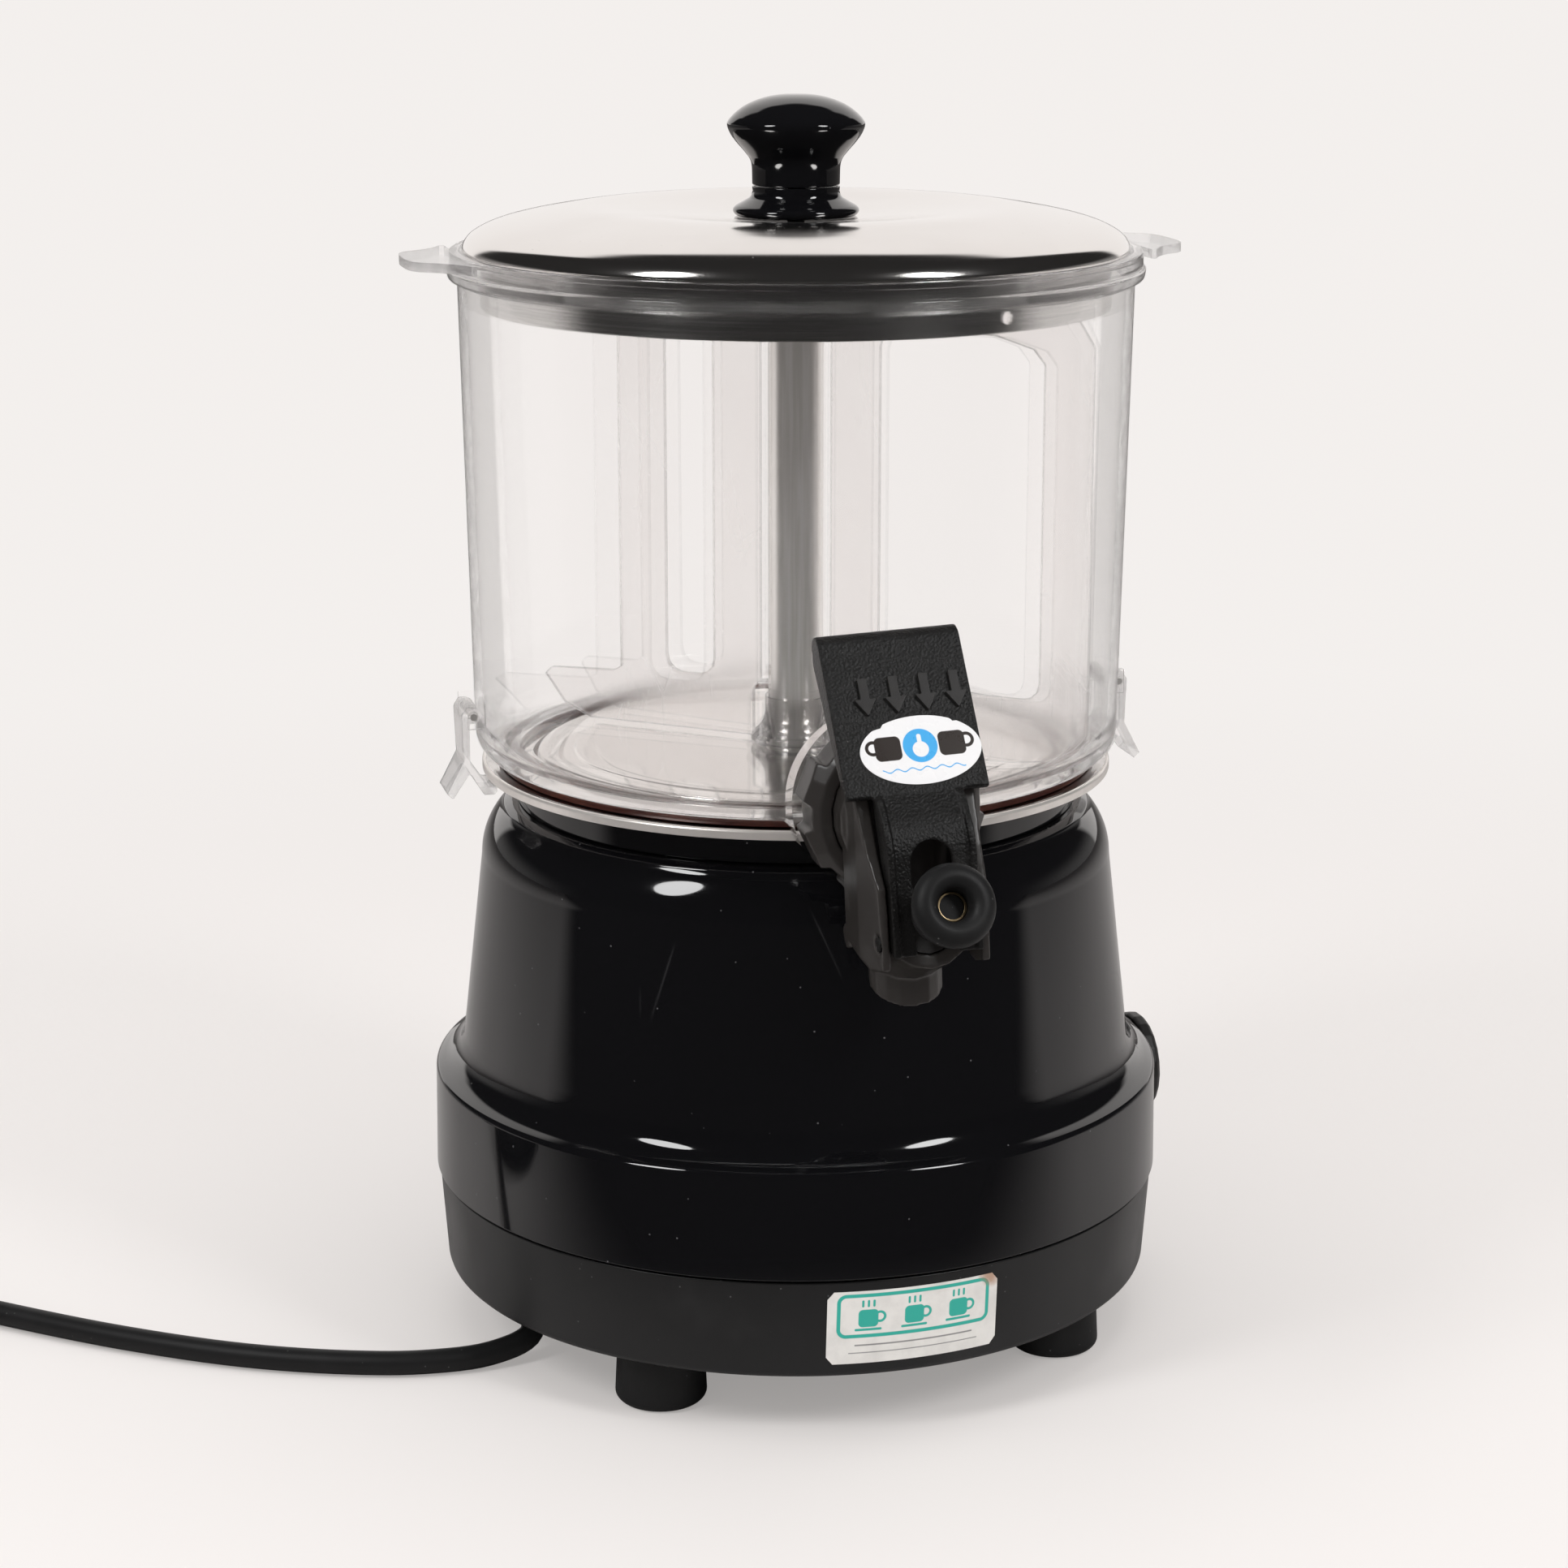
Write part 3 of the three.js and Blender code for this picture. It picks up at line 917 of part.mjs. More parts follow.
function tapLever() {
  const { sheet, plateWidth, lipRound, lipDrop, channelHalf, flange, pivotRound, sideDepth,
    flangeDepth } = lever;
  const top = { reach: pivotReach - lever.topBack, height: pivotHeight + lever.topRise };
  const low = { reach: pivotReach - lever.lowBack, height: pivotHeight + lever.lowRise };
  const bend = { reach: pivotReach + lever.bendOut, height: pivotHeight + lever.bendRise };
  const end = { reach: pivotReach + lever.footOut, height: pivotHeight - lever.footDrop };
  const lean = Math.atan2(low.reach - top.reach, top.height - low.height);
  const backReach = low.reach - sheet * Math.cos(lean);
  const backHeight = low.height - sheet * Math.sin(lean);
  const lip = [[top.reach, top.height - lipRound * 0.6], [top.reach - lipRound * 0.6, top.height],
    [top.reach - lipRound * 1.5, top.height - lipRound * 0.3], [top.reach - lipRound * 1.9,
    top.height - lipDrop],
    [top.reach - lipRound * 1.9 + sheet * 0.8, top.height - lipDrop - sheet * 0.4],
    [top.reach - lipRound * 1.1, top.height - lipRound * 0.9],
    [top.reach - sheet * 0.9, top.height - lipRound * 1.3]];
  const upper = sideways([[low.reach, low.height], ...lip, [backReach, backHeight]], plateWidth);
  const wings = [-1, 1].map((sign) => sideways([[low.reach, low.height],
    [top.reach, top.height - lipRound * 0.6],
    [top.reach - sideDepth, top.height - lipRound * 1.5], [low.reach - sideDepth,
    low.height + sideDepth * 0.3]],
  flange, sign * (plateWidth - flange) / 2));
  const neck = [low.reach - sheet * 0.2, low.height];
  const lower = sideways([[low.reach - sheet, low.height + sheet * 3],
    [low.reach - sheet * 0.4, low.height + sheet], neck, [bend.reach, bend.height],
    [end.reach, end.height], [end.reach - sheet, end.height],
    [bend.reach - sheet, bend.height - sheet * 0.2], [low.reach - sheet * 1.3, low.height]], channelHalf * 2);
  const flanges = [-1, 1].map((sign) => sideways([neck, [bend.reach, bend.height],
    [end.reach - sheet / 2, pivotHeight + pivotRound], ...arc(pivotReach, pivotHeight, pivotRound, 0,
    -180, 6),
    [bend.reach - flangeDepth * 0.7, bend.height - flangeDepth], [low.reach - flangeDepth * 0.4, low.height]],
  flange, sign * (channelHalf - flange / 2)));
  const trunnions = [-1, 1].map((sign) => bar(lever.trunnion,
    [sign * (channelHalf - flange), -pivotReach, pivotHeight],
    [sign * lever.trunnionOut, -pivotReach, pivotHeight]));
  const archCentre = pivotHeight + lever.archRise - lever.archHalf;
  const archFoot = end.height - overrun;
  const archShape = [[-lever.archHalf, archFoot], [lever.archHalf, archFoot],
    ...arc(0, archCentre, lever.archHalf, 0, 180, 8)];
  const arch = extruded(outlineOf(archShape), overrun * 4).rotateX(Math.PI / 2)
    .translate(0, -bend.reach + overrun * 2, 0);
  return cut(join(upper, ...wings, lower, ...flanges, ...trunnions), arch);
}

// The lid

// The points of the lid's top or underside, from its rim to its middle.
function domeLine(radiusShares, heightShares, lowered = 0) {
  return radiusShares.map((share, i) => [lidRadius * share, lidEdge + lid.domeHeight * heightShares[i] - lowered]);
}

const lidCrown = lidEdge + lid.domeHeight * lid.heightShares[lid.heightShares.length - 1];

function lidDome() {
  const outer = domeLine(lid.radiusShares, lid.heightShares);
  const under = domeLine(lid.underShares, lid.underHeightShares, lid.sheet).reverse();
  return turned([...outer, [lid.boltHole, lidCrown], [lid.boltHole, lidCrown - lid.sheet], ...under,
    [outer[0][0] - lid.sheet, lidEdge]], ringSides);
}

function lidSkirt() {
  const low = lidEdge - lid.skirtDrop;
  const band = ring(skirtRadius - lid.skirtSheet, skirtRadius, low, lidEdge + lid.skirtRise, ringSides);
  const ventHeight = low + lid.ventRise;
  const vent = bar(lid.ventRadius, [...roundAt(lid.ventAngle, skirtRadius + overrun), ventHeight],
    [...roundAt(lid.ventAngle, skirtRadius - overrun), ventHeight]);
  return cut(band, vent);
}

function knobBase() {
  const low = lidCrown + gap;
  const { flangeRadius, flangeHeight, neckRadius, neckSplit, flareShare } = knob;
  const bore = lid.boltHole;
  return turned([[bore, low], [flangeRadius - flangeHeight * 0.25, low],
    [flangeRadius, low + flangeHeight * 0.3],
    [flangeRadius * flareShare, low + flangeHeight * 0.8], [neckRadius, low + flangeHeight * 1.2],
    [neckRadius, low + neckSplit], [bore, low + neckSplit]], wideSides);
}

function knobHead() {
  const base = lidCrown + gap;
  const low = base + knob.neckSplit + gap;
  const seamHeight = base + knob.headSeam;
  const top = base + knob.height;
  const rise = top - seamHeight;
  const drop = seamHeight - base - knob.headFoot;
  const crown = knob.crownShares.map((share, i) => [knob.headRadius * share,
    seamHeight + rise * knob.crownRiseShares[i]]);
  const [lowShare, highShare] = knob.headShares;
  const [lowDrop, highDrop] = knob.headRiseShares;
  return turned([[knobScrew.head / 2, low], [knob.neckRadius, low],
    [knob.neckRadius * 1.02, base + knob.headFoot],
    [knob.headRadius * lowShare, seamHeight - drop * lowDrop],
    [knob.headRadius * highShare, seamHeight - drop * highDrop],
    [knob.headRadius, seamHeight], ...crown, [0, top], [0, low + knobScrew.length / 2],
    [knobScrew.head / 2, low + knobScrew.length / 2]], wideSides);
}

function knobBolt() {
  const under = lidCrown - lid.sheet - gap;
  const shank = lid.boltHole - gap;
  return turned([[0, under - knobScrew.headHeight], [knobScrew.head, under - knobScrew.headHeight],
    [knobScrew.head, under], [shank, under], [shank, under + knobScrew.length - knobScrew.headHeight],
    [0, under + knobScrew.length - knobScrew.headHeight]], smallSides);
}

// The terminal block and the lead

function terminalBlock() {
  const low = panBottom + pan.floor + gap;
  const [x, y] = terminals.place;
  const holes = Array.from({ length: terminals.ways }, (_, i) => {
    const shift = (i - (terminals.ways - 1) / 2) * terminals.length / terminals.ways;
    return disc(terminals.wayRadius, low + terminals.height - terminals.wayDepth,
      low + terminals.height + overrun,
      pinSides).translate(x + shift, y, 0);
  });
  const body = block(terminals.length, terminals.width, terminals.height, x, y, low + terminals.height / 2);
  return cut(body, ...holes);
}

const heading = [Math.cos(radians(exit.heading)), Math.sin(radians(exit.heading))];

function leadGland() {
  const top = panBottom - gap;
  const blockPiece = disc(exit.blockRadius, top - exit.blockHeight, top, smallSides).translate(exit.x,
    exit.y, 0);
  const stem = disc(exit.blockRadius - pan.wall, top - exit.blockHeight,
    panBottom + pan.floor + exit.blockHeight / 3).translate(exit.x, exit.y, 0);
  const sleeve = new THREE.CylinderGeometry(exit.sleeveTip, exit.sleeveRadius, exit.sleeveLength, pinSides)
    .rotateZ(-Math.PI / 2).translate(exit.sleeveLength / 2, 0, 0).rotateZ(radians(exit.heading))
    .translate(exit.x, exit.y, exit.height);
  return join(blockPiece, stem, sleeve);
}

const sleeveEnd = new THREE.Vector3(exit.x + heading[0] * (exit.sleeveLength + gap),
  exit.y + heading[1] * (exit.sleeveLength + gap), exit.height);

function leadCurve() {
  const start = sleeveEnd;
  const straight = start.clone().add(new THREE.Vector3(...heading, 0).multiplyScalar(lead.radius * 2));
  const coilHeading = radians(coil.heading);
  const end = new THREE.Vector3(coil.entryX - Math.cos(coilHeading) * gap,
    coil.entryY - Math.sin(coilHeading) * gap, lead.radius + lead.tableGap);
  return new THREE.CatmullRomCurve3([start, straight, ...route.map((point) => new THREE.Vector3(...point)), end],
    false, 'centripetal');
}

function sectionOf(radius, sides) {
  return new THREE.Shape(Array.from({ length: sides }, (_, i) => {
    const angle = 2 * Math.PI * (i + 0.5) / sides;
    return new THREE.Vector2(radius * Math.cos(angle), radius * Math.sin(angle));
  }));
}

function leadRun() {
  return new THREE.ExtrudeGeometry(sectionOf(lead.radius, lead.sides),
    { steps: lead.steps, extrudePath: leadCurve(), curveSegments: 1 });
}

// The coil spirals in on the table, climbs in half a turn and spirals out again on top of itself.
function coilPoints() {
  const low = lead.radius + lead.tableGap;
  const outer = coil.turnRadius + coil.pitch * coil.turns / 2;
  const start = radians(coil.heading) - Math.PI / 2;
  const centreX = coil.entryX - Math.cos(start) * outer + Math.cos(radians(coil.heading)) * coil.straight;
  const centreY = coil.entryY - Math.sin(start) * outer + Math.sin(radians(coil.heading)) * coil.straight;
  const points = [new THREE.Vector3(coil.entryX, coil.entryY, low)];
  const count = coil.turns * 2 * coil.steps;
  for (let i = 0; i <= count; i += 1) {
    const turn = i / coil.steps;
    const inward = Math.min(turn, coil.turns * 2 - turn);
    const radius = outer - coil.pitch * inward;
    const climb = THREE.MathUtils.smoothstep(turn, coil.turns - 0.25, coil.turns + 0.25);
    const angle = start + 2 * Math.PI * turn;
    points.push(new THREE.Vector3(centreX + radius * Math.cos(angle), centreY + radius * Math.sin(angle),
      low + coil.layerRise * climb));
  }
  const last = points[points.length - 1];
  points.push(last.clone().add(new THREE.Vector3(Math.cos(start + Math.PI / 2),
    Math.sin(start + Math.PI / 2), 0)
    .multiplyScalar(coil.straight)));
  return points;
}

// The least distance between stretches of the coil more than half a turn apart, less its thickness.
function leastCoilGap(points) {
  let least = Infinity;
  const apart = coil.steps / 2;
  for (let i = 0; i < points.length; i += 1) {
    for (let j = i + apart; j < points.length; j += 1) least = Math.min(least,
    points[i].distanceTo(points[j]));
  }
  return least - lead.radius * 2;
}

function leadTail() {
  const points = coilPoints();
  const last = points[points.length - 1];
  const along = last.clone().sub(points[points.length - 2]).normalize();
  const steps = Array.from({ length: tail.steps + 1 }, (_, i) => {
    const share = i / tail.steps;
    const point = last.clone().addScaledVector(along, gap + tail.length * share);
    point.z += tail.rise * THREE.MathUtils.smootherstep(share, 0.1, 0.9);
    return point;
  });
  return tube(steps, lead.radius, lead.sides);
}

function plugFrame() {
  const points = coilPoints();
  const last = points[points.length - 1];
  const along = last.clone().sub(points[points.length - 2]).normalize();
  const place = last.clone().addScaledVector(along, tail.length + gap * 2);
  return { x: place.x, y: place.y, z: last.z + tail.rise, turn: Math.atan2(along.y, along.x) };
}

function laidAsPlug(geometry) {
  const frame = plugFrame();
  return geometry.rotateY(Math.PI / 2).rotateZ(frame.turn).translate(frame.x, frame.y, frame.z);
}

function plugBody() {
  const { neckRadius, neckLength, bodyRadius, bodyLength, gripRadius } = plug;
  const end = neckLength + bodyLength;
  const body = turned([[0, 0], [neckRadius, 0], [neckRadius * 1.15, neckLength],
    [gripRadius, neckLength * 1.3],
    [gripRadius, neckLength + bodyLength * 0.45], [bodyRadius, neckLength + bodyLength * 0.6],
    [bodyRadius, end],
    [0, end]], smallSides);
  const holes = [-1, 1].map((sign) => disc(plug.pinRadius + gap, end - plug.pinRoot - gap, end + overrun,
    pinSides)
    .translate(0, sign * plug.pinSpacing / 2, 0));
  return laidAsPlug(cut(body, ...holes));
}

function plugPin(sign) {
  const end = plug.neckLength + plug.bodyLength;
  return laidAsPlug(turned([[0, end - plug.pinRoot], [plug.pinRadius, end - plug.pinRoot],
    [plug.pinRadius, end + plug.pinLength - plug.pinRadius / 2],
    [plug.pinRadius / 2, end + plug.pinLength], [0, end + plug.pinLength]], pinSides)
    .translate(0, sign * plug.pinSpacing / 2, 0));
}

// A flat tie round all the turns at one place of the coil.
function coilTie() {
  const outer = coil.turnRadius + coil.pitch * coil.turns / 2;
  const start = radians(coil.heading) - Math.PI / 2;
  const angle = start + 2 * Math.PI * tie.atTurn;
  const points = coilPoints();
  const centreX = coil.entryX - Math.cos(start) * outer + Math.cos(radians(coil.heading)) * coil.straight;
  const centreY = coil.entryY - Math.sin(start) * outer + Math.sin(radians(coil.heading)) * coil.straight;
  const reach = points.slice(1, -1).filter((point) => {
    const away = Math.atan2(point.y - centreY, point.x - centreX) - angle;
    return Math.abs(Math.sin(away / 2)) < Math.sin(Math.PI / coil.steps);
  }).map((point) => Math.hypot(point.x - centreX, point.y - centreY));
  const low = Math.min(...reach) - lead.radius - tie.room;
  const high = Math.max(...reach) + lead.radius + tie.room;
  const bottom = lead.tableGap;
  const top = lead.tableGap + lead.radius * 2 + coil.layerRise + tie.room;
  return { low, high, bottom, top, angle, centreX, centreY };
}

function coilTiePiece() {
  const { low, high, bottom, top, angle, centreX, centreY } = coilTie();
  const floorLift = bottom * 0.4;
  const outline = [[low - tie.sheet, top - tie.sheet * 2], [low + tie.sheet, top + tie.sheet],
    [high - tie.sheet, top + tie.sheet], [high + tie.sheet, top - tie.sheet * 2],
    [high + tie.sheet, floorLift],
    [high, floorLift], [high, top - tie.sheet * 2.4], [high - tie.sheet * 1.4, top],
    [low + tie.sheet * 1.4, top],
    [low, top - tie.sheet * 2.4], [low, floorLift], [low - tie.sheet, floorLift]];
  return sideways(outline, tie.width).rotateZ(angle + Math.PI / 2).translate(centreX, centreY, 0);
}

console.log('least gap of the coil to itself', leastCoilGap(coilPoints()).toFixed(2));

// The whole machine

const stand = new THREE.Group();
const corners = ['front_left', 'front_right', 'rear_right', 'rear_left'];
foot.angles.forEach((angle, i) => {
  const made = piece('foot_' + corners[i], footPiece(), look.rubber);
  const [x, y] = roundAt(angle, footRing);
  made.position.set(x, y, 0);
  stand.add(made);
});
pan.screwAngles.forEach((angle, i) => {
  const made = piece('case_screw_' + (i + 1), caseScrew(), look.zinc);
  const [x, y] = roundAt(angle, postRing);
  made.position.set(x, y, 0);
  stand.add(made);
});
stand.add(
  piece('base_pan', basePan(), look.blackSatin),
  piece('upper_housing', upperHousing(), look.blackGloss),
  piece('dial_bezel', dialBezel(), look.blackSatin),
  piece('thermostat_dial', dialKnob(), look.blackSatin),
  piece('dial_spindle', dialSpindle(), look.zinc),
  piece('thermostat_body', thermostatBody(), look.zinc),
  piece('heating_plate', heatingPlate(), look.steel),
  piece('plate_gasket', plateGasket(), look.brown),
  piece('heating_element', heatingElement(), look.zinc),
  piece('motor_bracket', motorBracket(), look.zinc),
  piece('gear_case', gearBox(), look.blackMatt),
  piece('gear_case_cover', gearCover(), look.blackMatt),
  piece('motor_can', motorCan(), look.zinc),
  piece('motor_shaft', pinionShaft(), look.zinc),
  piece('motor_pinion', motorPinion(), look.brass),
  piece('drive_gear', driveGear(), look.white),
  piece('drive_shaft', driveShaft(), look.steel),
  piece('column_tube', columnTube(), look.steel),
  piece('column_bush', columnBush(), look.white),
  piece('shaft_seal', shaftSeal(), look.rubber),
  piece('terminal_block', terminalBlock(), look.white),
  piece('lead_gland', leadGland(), look.rubber),
);

const mixerGroup = new THREE.Group();
mixerGroup.rotation.z = radians(mixer.angle);
mixerGroup.add(
  piece('mixer_paddle', mixerPaddle(), look.frosted),
  piece('mixer_hub', mixerHub(), look.clear),
  piece('mixer_cap', mixerCap(), look.frosted),
);

const tapGroup = new THREE.Group();
tapGroup.rotation.y = -radians(tap.roll);
tapGroup.position.z = tapHeight;
const tapPieces = new THREE.Group();
tapPieces.position.z = -tapHeight;
tapGroup.add(tapPieces);
tapPieces.add(
  piece('tap_nut', tapNut(), look.blackMatt),
  piece('tap_washer', tapWasher(), look.rubber),
  piece('tap_body', tapBody(), look.blackMatt),
  piece('tap_lever', tapLever(), look.blackMatt),
  piece('piston_guide', pistonGuide(), look.blackMatt),
  piece('piston_plug', pistonPlug(), look.blackMatt),
  piece('piston_seal', pistonSeal(), look.rubber),
  piece('piston_spring', pistonSpring(), look.steel),
  piece('piston_button', pistonButton(), look.blackMatt),
  piece('button_ring', buttonRing(), look.brass),
);

const bowlGroup = new THREE.Group();
bowlGroup.rotation.z = radians(bowl.turn);
bowlGroup.add(
  piece('bowl', bowlPiece(), look.clear),
  piece('latch_left', latchClip(-1), look.clear),
  piece('latch_right', latchClip(1), look.clear),
  piece('latch_pin_left', latchPin(-1), look.steel),
  piece('latch_pin_right', latchPin(1), look.steel),
  tapGroup,
);

const lidGroup = new THREE.Group();
lidGroup.add(
  piece('lid_dome', lidDome(), look.steel),
  piece('lid_skirt', lidSkirt(), look.steel),
  piece('lid_knob_base', knobBase(), look.blackGloss),
  piece('lid_knob_head', knobHead(), look.blackGloss),
  piece('lid_knob_screw', knobBolt(), look.zinc),
);

const leadGroup = new THREE.Group();
leadGroup.add(
  piece('lead_run', leadRun(), look.rubber),
  piece('lead_coil', tube(coilPoints(), lead.radius, coil.sides), look.rubber),
  piece('lead_tail', leadTail(), look.rubber),
  piece('lead_tie', coilTiePiece(), look.rubber),
  piece('plug_body', plugBody(), look.rubber),
  piece('plug_pin_left', plugPin(-1), look.zinc),
  piece('plug_pin_right', plugPin(1), look.zinc),
);

// The origin is under the middle of the machine's box, without the lead.
const machine = new THREE.Group();
machine.add(stand, mixerGroup, bowlGroup, lidGroup);
machine.updateMatrixWorld(true);
const middle = new THREE.Box3().setFromObject(machine, true).getCenter(new THREE.Vector3());
machine.add(leadGroup);
machine.position.set(-middle.x, -middle.y, 0);

const dispenser = new THREE.Group();
dispenser.add(machine);

export default dispenser;
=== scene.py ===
import json
from functools import reduce
from math import cos, hypot, pi, radians, sin
import bpy
import bmesh
from mathutils import Matrix, Vector

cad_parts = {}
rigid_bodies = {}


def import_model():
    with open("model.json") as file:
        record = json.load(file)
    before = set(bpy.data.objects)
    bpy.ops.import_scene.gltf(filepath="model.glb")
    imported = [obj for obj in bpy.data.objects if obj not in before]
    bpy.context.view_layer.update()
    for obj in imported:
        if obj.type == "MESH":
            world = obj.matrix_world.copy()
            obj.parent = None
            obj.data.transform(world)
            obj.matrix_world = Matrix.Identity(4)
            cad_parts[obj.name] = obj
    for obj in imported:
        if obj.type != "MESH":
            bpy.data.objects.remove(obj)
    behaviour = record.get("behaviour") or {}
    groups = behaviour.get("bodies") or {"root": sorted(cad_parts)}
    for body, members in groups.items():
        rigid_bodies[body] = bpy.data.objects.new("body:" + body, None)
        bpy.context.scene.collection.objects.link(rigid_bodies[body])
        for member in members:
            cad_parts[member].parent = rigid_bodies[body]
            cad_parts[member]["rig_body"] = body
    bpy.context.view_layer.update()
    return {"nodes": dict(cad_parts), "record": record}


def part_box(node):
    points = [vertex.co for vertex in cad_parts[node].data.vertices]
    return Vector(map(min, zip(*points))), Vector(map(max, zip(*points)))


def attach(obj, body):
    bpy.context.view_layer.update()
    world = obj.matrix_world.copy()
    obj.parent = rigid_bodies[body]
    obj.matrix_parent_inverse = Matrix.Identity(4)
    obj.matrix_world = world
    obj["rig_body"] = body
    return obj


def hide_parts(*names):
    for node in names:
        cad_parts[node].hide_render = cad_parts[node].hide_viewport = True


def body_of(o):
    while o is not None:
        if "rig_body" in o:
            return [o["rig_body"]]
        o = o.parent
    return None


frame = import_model()

mm = 0.001
inkBlur = 0.12  # how soft a printed edge is, in millimetres to each side
low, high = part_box("upper_housing")
axis = Vector(((low.x + high.x) / 2, (low.y + high.y) / 2, 0))  # the machine's upright axis
toAxis = Matrix.Translation(axis)
print("frame loaded, axis at", [round(v, 5) for v in axis])


# Shader maths as expressions: a Signal is one socket of a finish's node tree
class Signal:
    def __init__(self, finish, socket):
        self.finish = finish
        self.socket = socket

    def math(self, operation, *others):
        return self.finish.node("ShaderNodeMath", {"operation": operation}, dict(enumerate([self, *others])))

    def __add__(self, other): return self.math("ADD", other)
    def __sub__(self, other): return self.math("SUBTRACT", other)
    def __mul__(self, other): return self.math("MULTIPLY", other)
    def __pow__(self, other): return self.math("POWER", other)
    def __rsub__(self, other): return self * -1 + other
    __radd__ = __add__
    __rmul__ = __mul__

    def above(self, other): return self.math("GREATER_THAN", other)
    def atMost(self, other): return self.math("MINIMUM", other)
    def atLeast(self, other): return self.math("MAXIMUM", other)

    # A printed shape from its distance, and the line along its outline
    def ink(self):
        return self.ramp(inkBlur, -inkBlur)

    def line(self, width):
        return (self.math("ABSOLUTE") - width / 2).ink()

    # Rises smoothly from 0 at start to 1 at end, and falls where start is the larger
    def ramp(self, start, end):
        sockets = {"Value": self, "From Min": min(start, end), "From Max": max(start, end)}
        if start > end:
            sockets.update({"To Min": 1.0, "To Max": 0.0})
        return self.finish.node("ShaderNodeMapRange", {"interpolation_type": "SMOOTHSTEP", "clamp": True}, sockets)


# The even values that a finish can be given by a plain word
socketNames = {"metallic": "Metallic", "ior": "IOR", "transmission": "Transmission Weight", "coat": "Coat Weight",
    "coatRoughness": "Coat Roughness", "specular": "Specular IOR Level", "anisotropic": "Anisotropic",
    "shineTurn": "Anisotropic Rotation", "alpha": "Alpha"}


class Finish:
    def __init__(self, name, **fixed):
        self.material = bpy.data.materials.new(name)
        self.material.use_nodes = True
        self.tree = self.material.node_tree
        self.tree.nodes.clear()
        self.made = self.tree.nodes.new("ShaderNodeOutputMaterial")
        self.principled = self.tree.nodes.new("ShaderNodeBsdfPrincipled")
        self.tree.links.new(self.principled.outputs[0], self.made.inputs["Surface"])
        for word, value in fixed.items():
            self.give(self.principled, socketNames[word], value)

    def give(self, node, socket, value):
        place = node.inputs[socket]
        if isinstance(value, Signal):
            self.tree.links.new(value.socket, place)
        elif isinstance(value, (tuple, list)) and len(value) == 3 and place.type == "RGBA":
            place.default_value = (*value, 1.0)
        else:
            place.default_value = value

    # Any node: its settings first, then the values or links of its sockets
    def node(self, kind, settings=None, sockets=None, output=0):
        made = self.tree.nodes.new(kind)
        for key, value in (settings or {}).items():
            setattr(made, key, value)
        for socket, value in (sockets or {}).items():
            self.give(made, socket, value)
        return Signal(self, made.outputs[output])

    def place(self, stretch=(1, 1, 1), shift=(0, 0, 0), turn=(0, 0, 0)):
        spot = self.node("ShaderNodeTexCoord", output="Object")
        sockets = {"Vector": spot, "Location": shift, "Rotation": turn, "Scale": stretch}
        return self.node("ShaderNodeMapping", {}, sockets)

    def noise(self, scale, detail=2.0, roughness=0.5, stretch=(1, 1, 1), shift=(0, 0, 0)):
        sockets = {"Vector": self.place(stretch, shift), "Scale": scale, "Detail": detail, "Roughness": roughness}
        return self.node("ShaderNodeTexNoise", {}, sockets)

    def cells(self, scale, feature="F1", output="Distance"):
        sockets = {"Vector": self.place(), "Scale": scale}
        return self.node("ShaderNodeTexVoronoi", {"feature": feature}, sockets, output)

    def blendColors(self, share, first, second):
        return self.node("ShaderNodeMix", {"data_type": "RGBA"}, {0: share, 6: first, 7: second}, output=2)

    # Sparse specks, such as dust: a dot in some of the cells
    def specks(self, scale, size, share):
        dots = self.cells(scale).ramp(size, size * 0.4)
        draw = self.node("ShaderNodeSeparateColor", {}, {"Color": self.cells(scale, output="Color")}, output=0)
        return dots * draw.above(1 - share)

    # Fine hairlines: the thin borders between long drawn out cells
    def scratches(self, scale, width, share, stretch, turn=(0, 0, 0)):
        sockets = {"Vector": self.place(stretch, turn=turn), "Scale": scale}
        lines = self.node("ShaderNodeTexVoronoi", {"feature": "DISTANCE_TO_EDGE"}, sockets).ramp(width, 0.0)
        return lines * self.noise(scale * 0.6, shift=(3, 1, 2)).ramp(1 - share, 1.06 - share)

    # A piece's own plan coordinates, kept as its UV in millimetres
    def plan(self):
        spot = self.node("ShaderNodeTexCoord", output="UV")
        self.u, self.v = [self.node("ShaderNodeSeparateXYZ", {}, {0: spot}, output=name) for name in "XY"]

    # Distances in millimetres from the outline of a rounded box and of a circle, negative inside
    def boxShape(self, middle, half, corner):
        x = (self.u - middle[0]).math("ABSOLUTE") - (half[0] - corner)
        y = (self.v - middle[1]).math("ABSOLUTE") - (half[1] - corner)
        reachX, reachY = x.atLeast(0.0), y.atLeast(0.0)
        return (reachX * reachX + reachY * reachY) ** 0.5 + x.atLeast(y).atMost(0.0) - corner

    def circleShape(self, middle, radius):
        x, y = self.u - middle[0], self.v - middle[1]
        return (x * x + y * y) ** 0.5 - radius

    # 1 where the camera looks straight at it, also through clear plastic
    def directSight(self):
        camera = self.node("ShaderNodeLightPath", output="Is Camera Ray")
        through = self.node("ShaderNodeLightPath", output="Is Transmission Ray")
        return (camera + through).atMost(1.0)

    # 1 where the line of sight has met a mirror on its way, also through clear plastic
    def mirrored(self):
        return self.node("ShaderNodeLightPath", output="Glossy Depth").above(0.5)

    def mixed(self, share, first, second):
        return self.node("ShaderNodeMixShader", {}, {0: share, 1: first, 2: second})

    def color(self, share, first, second):
        self.give(self.principled, "Base Color", self.blendColors(share, first, second))

    def rough(self, signal):
        self.give(self.principled, "Roughness", signal)

    def bump(self, height, strength, distance):
        bumped = self.node("ShaderNodeBump", {}, {"Height": height, "Strength": strength, "Distance": distance})
        self.give(self.principled, "Normal", bumped)


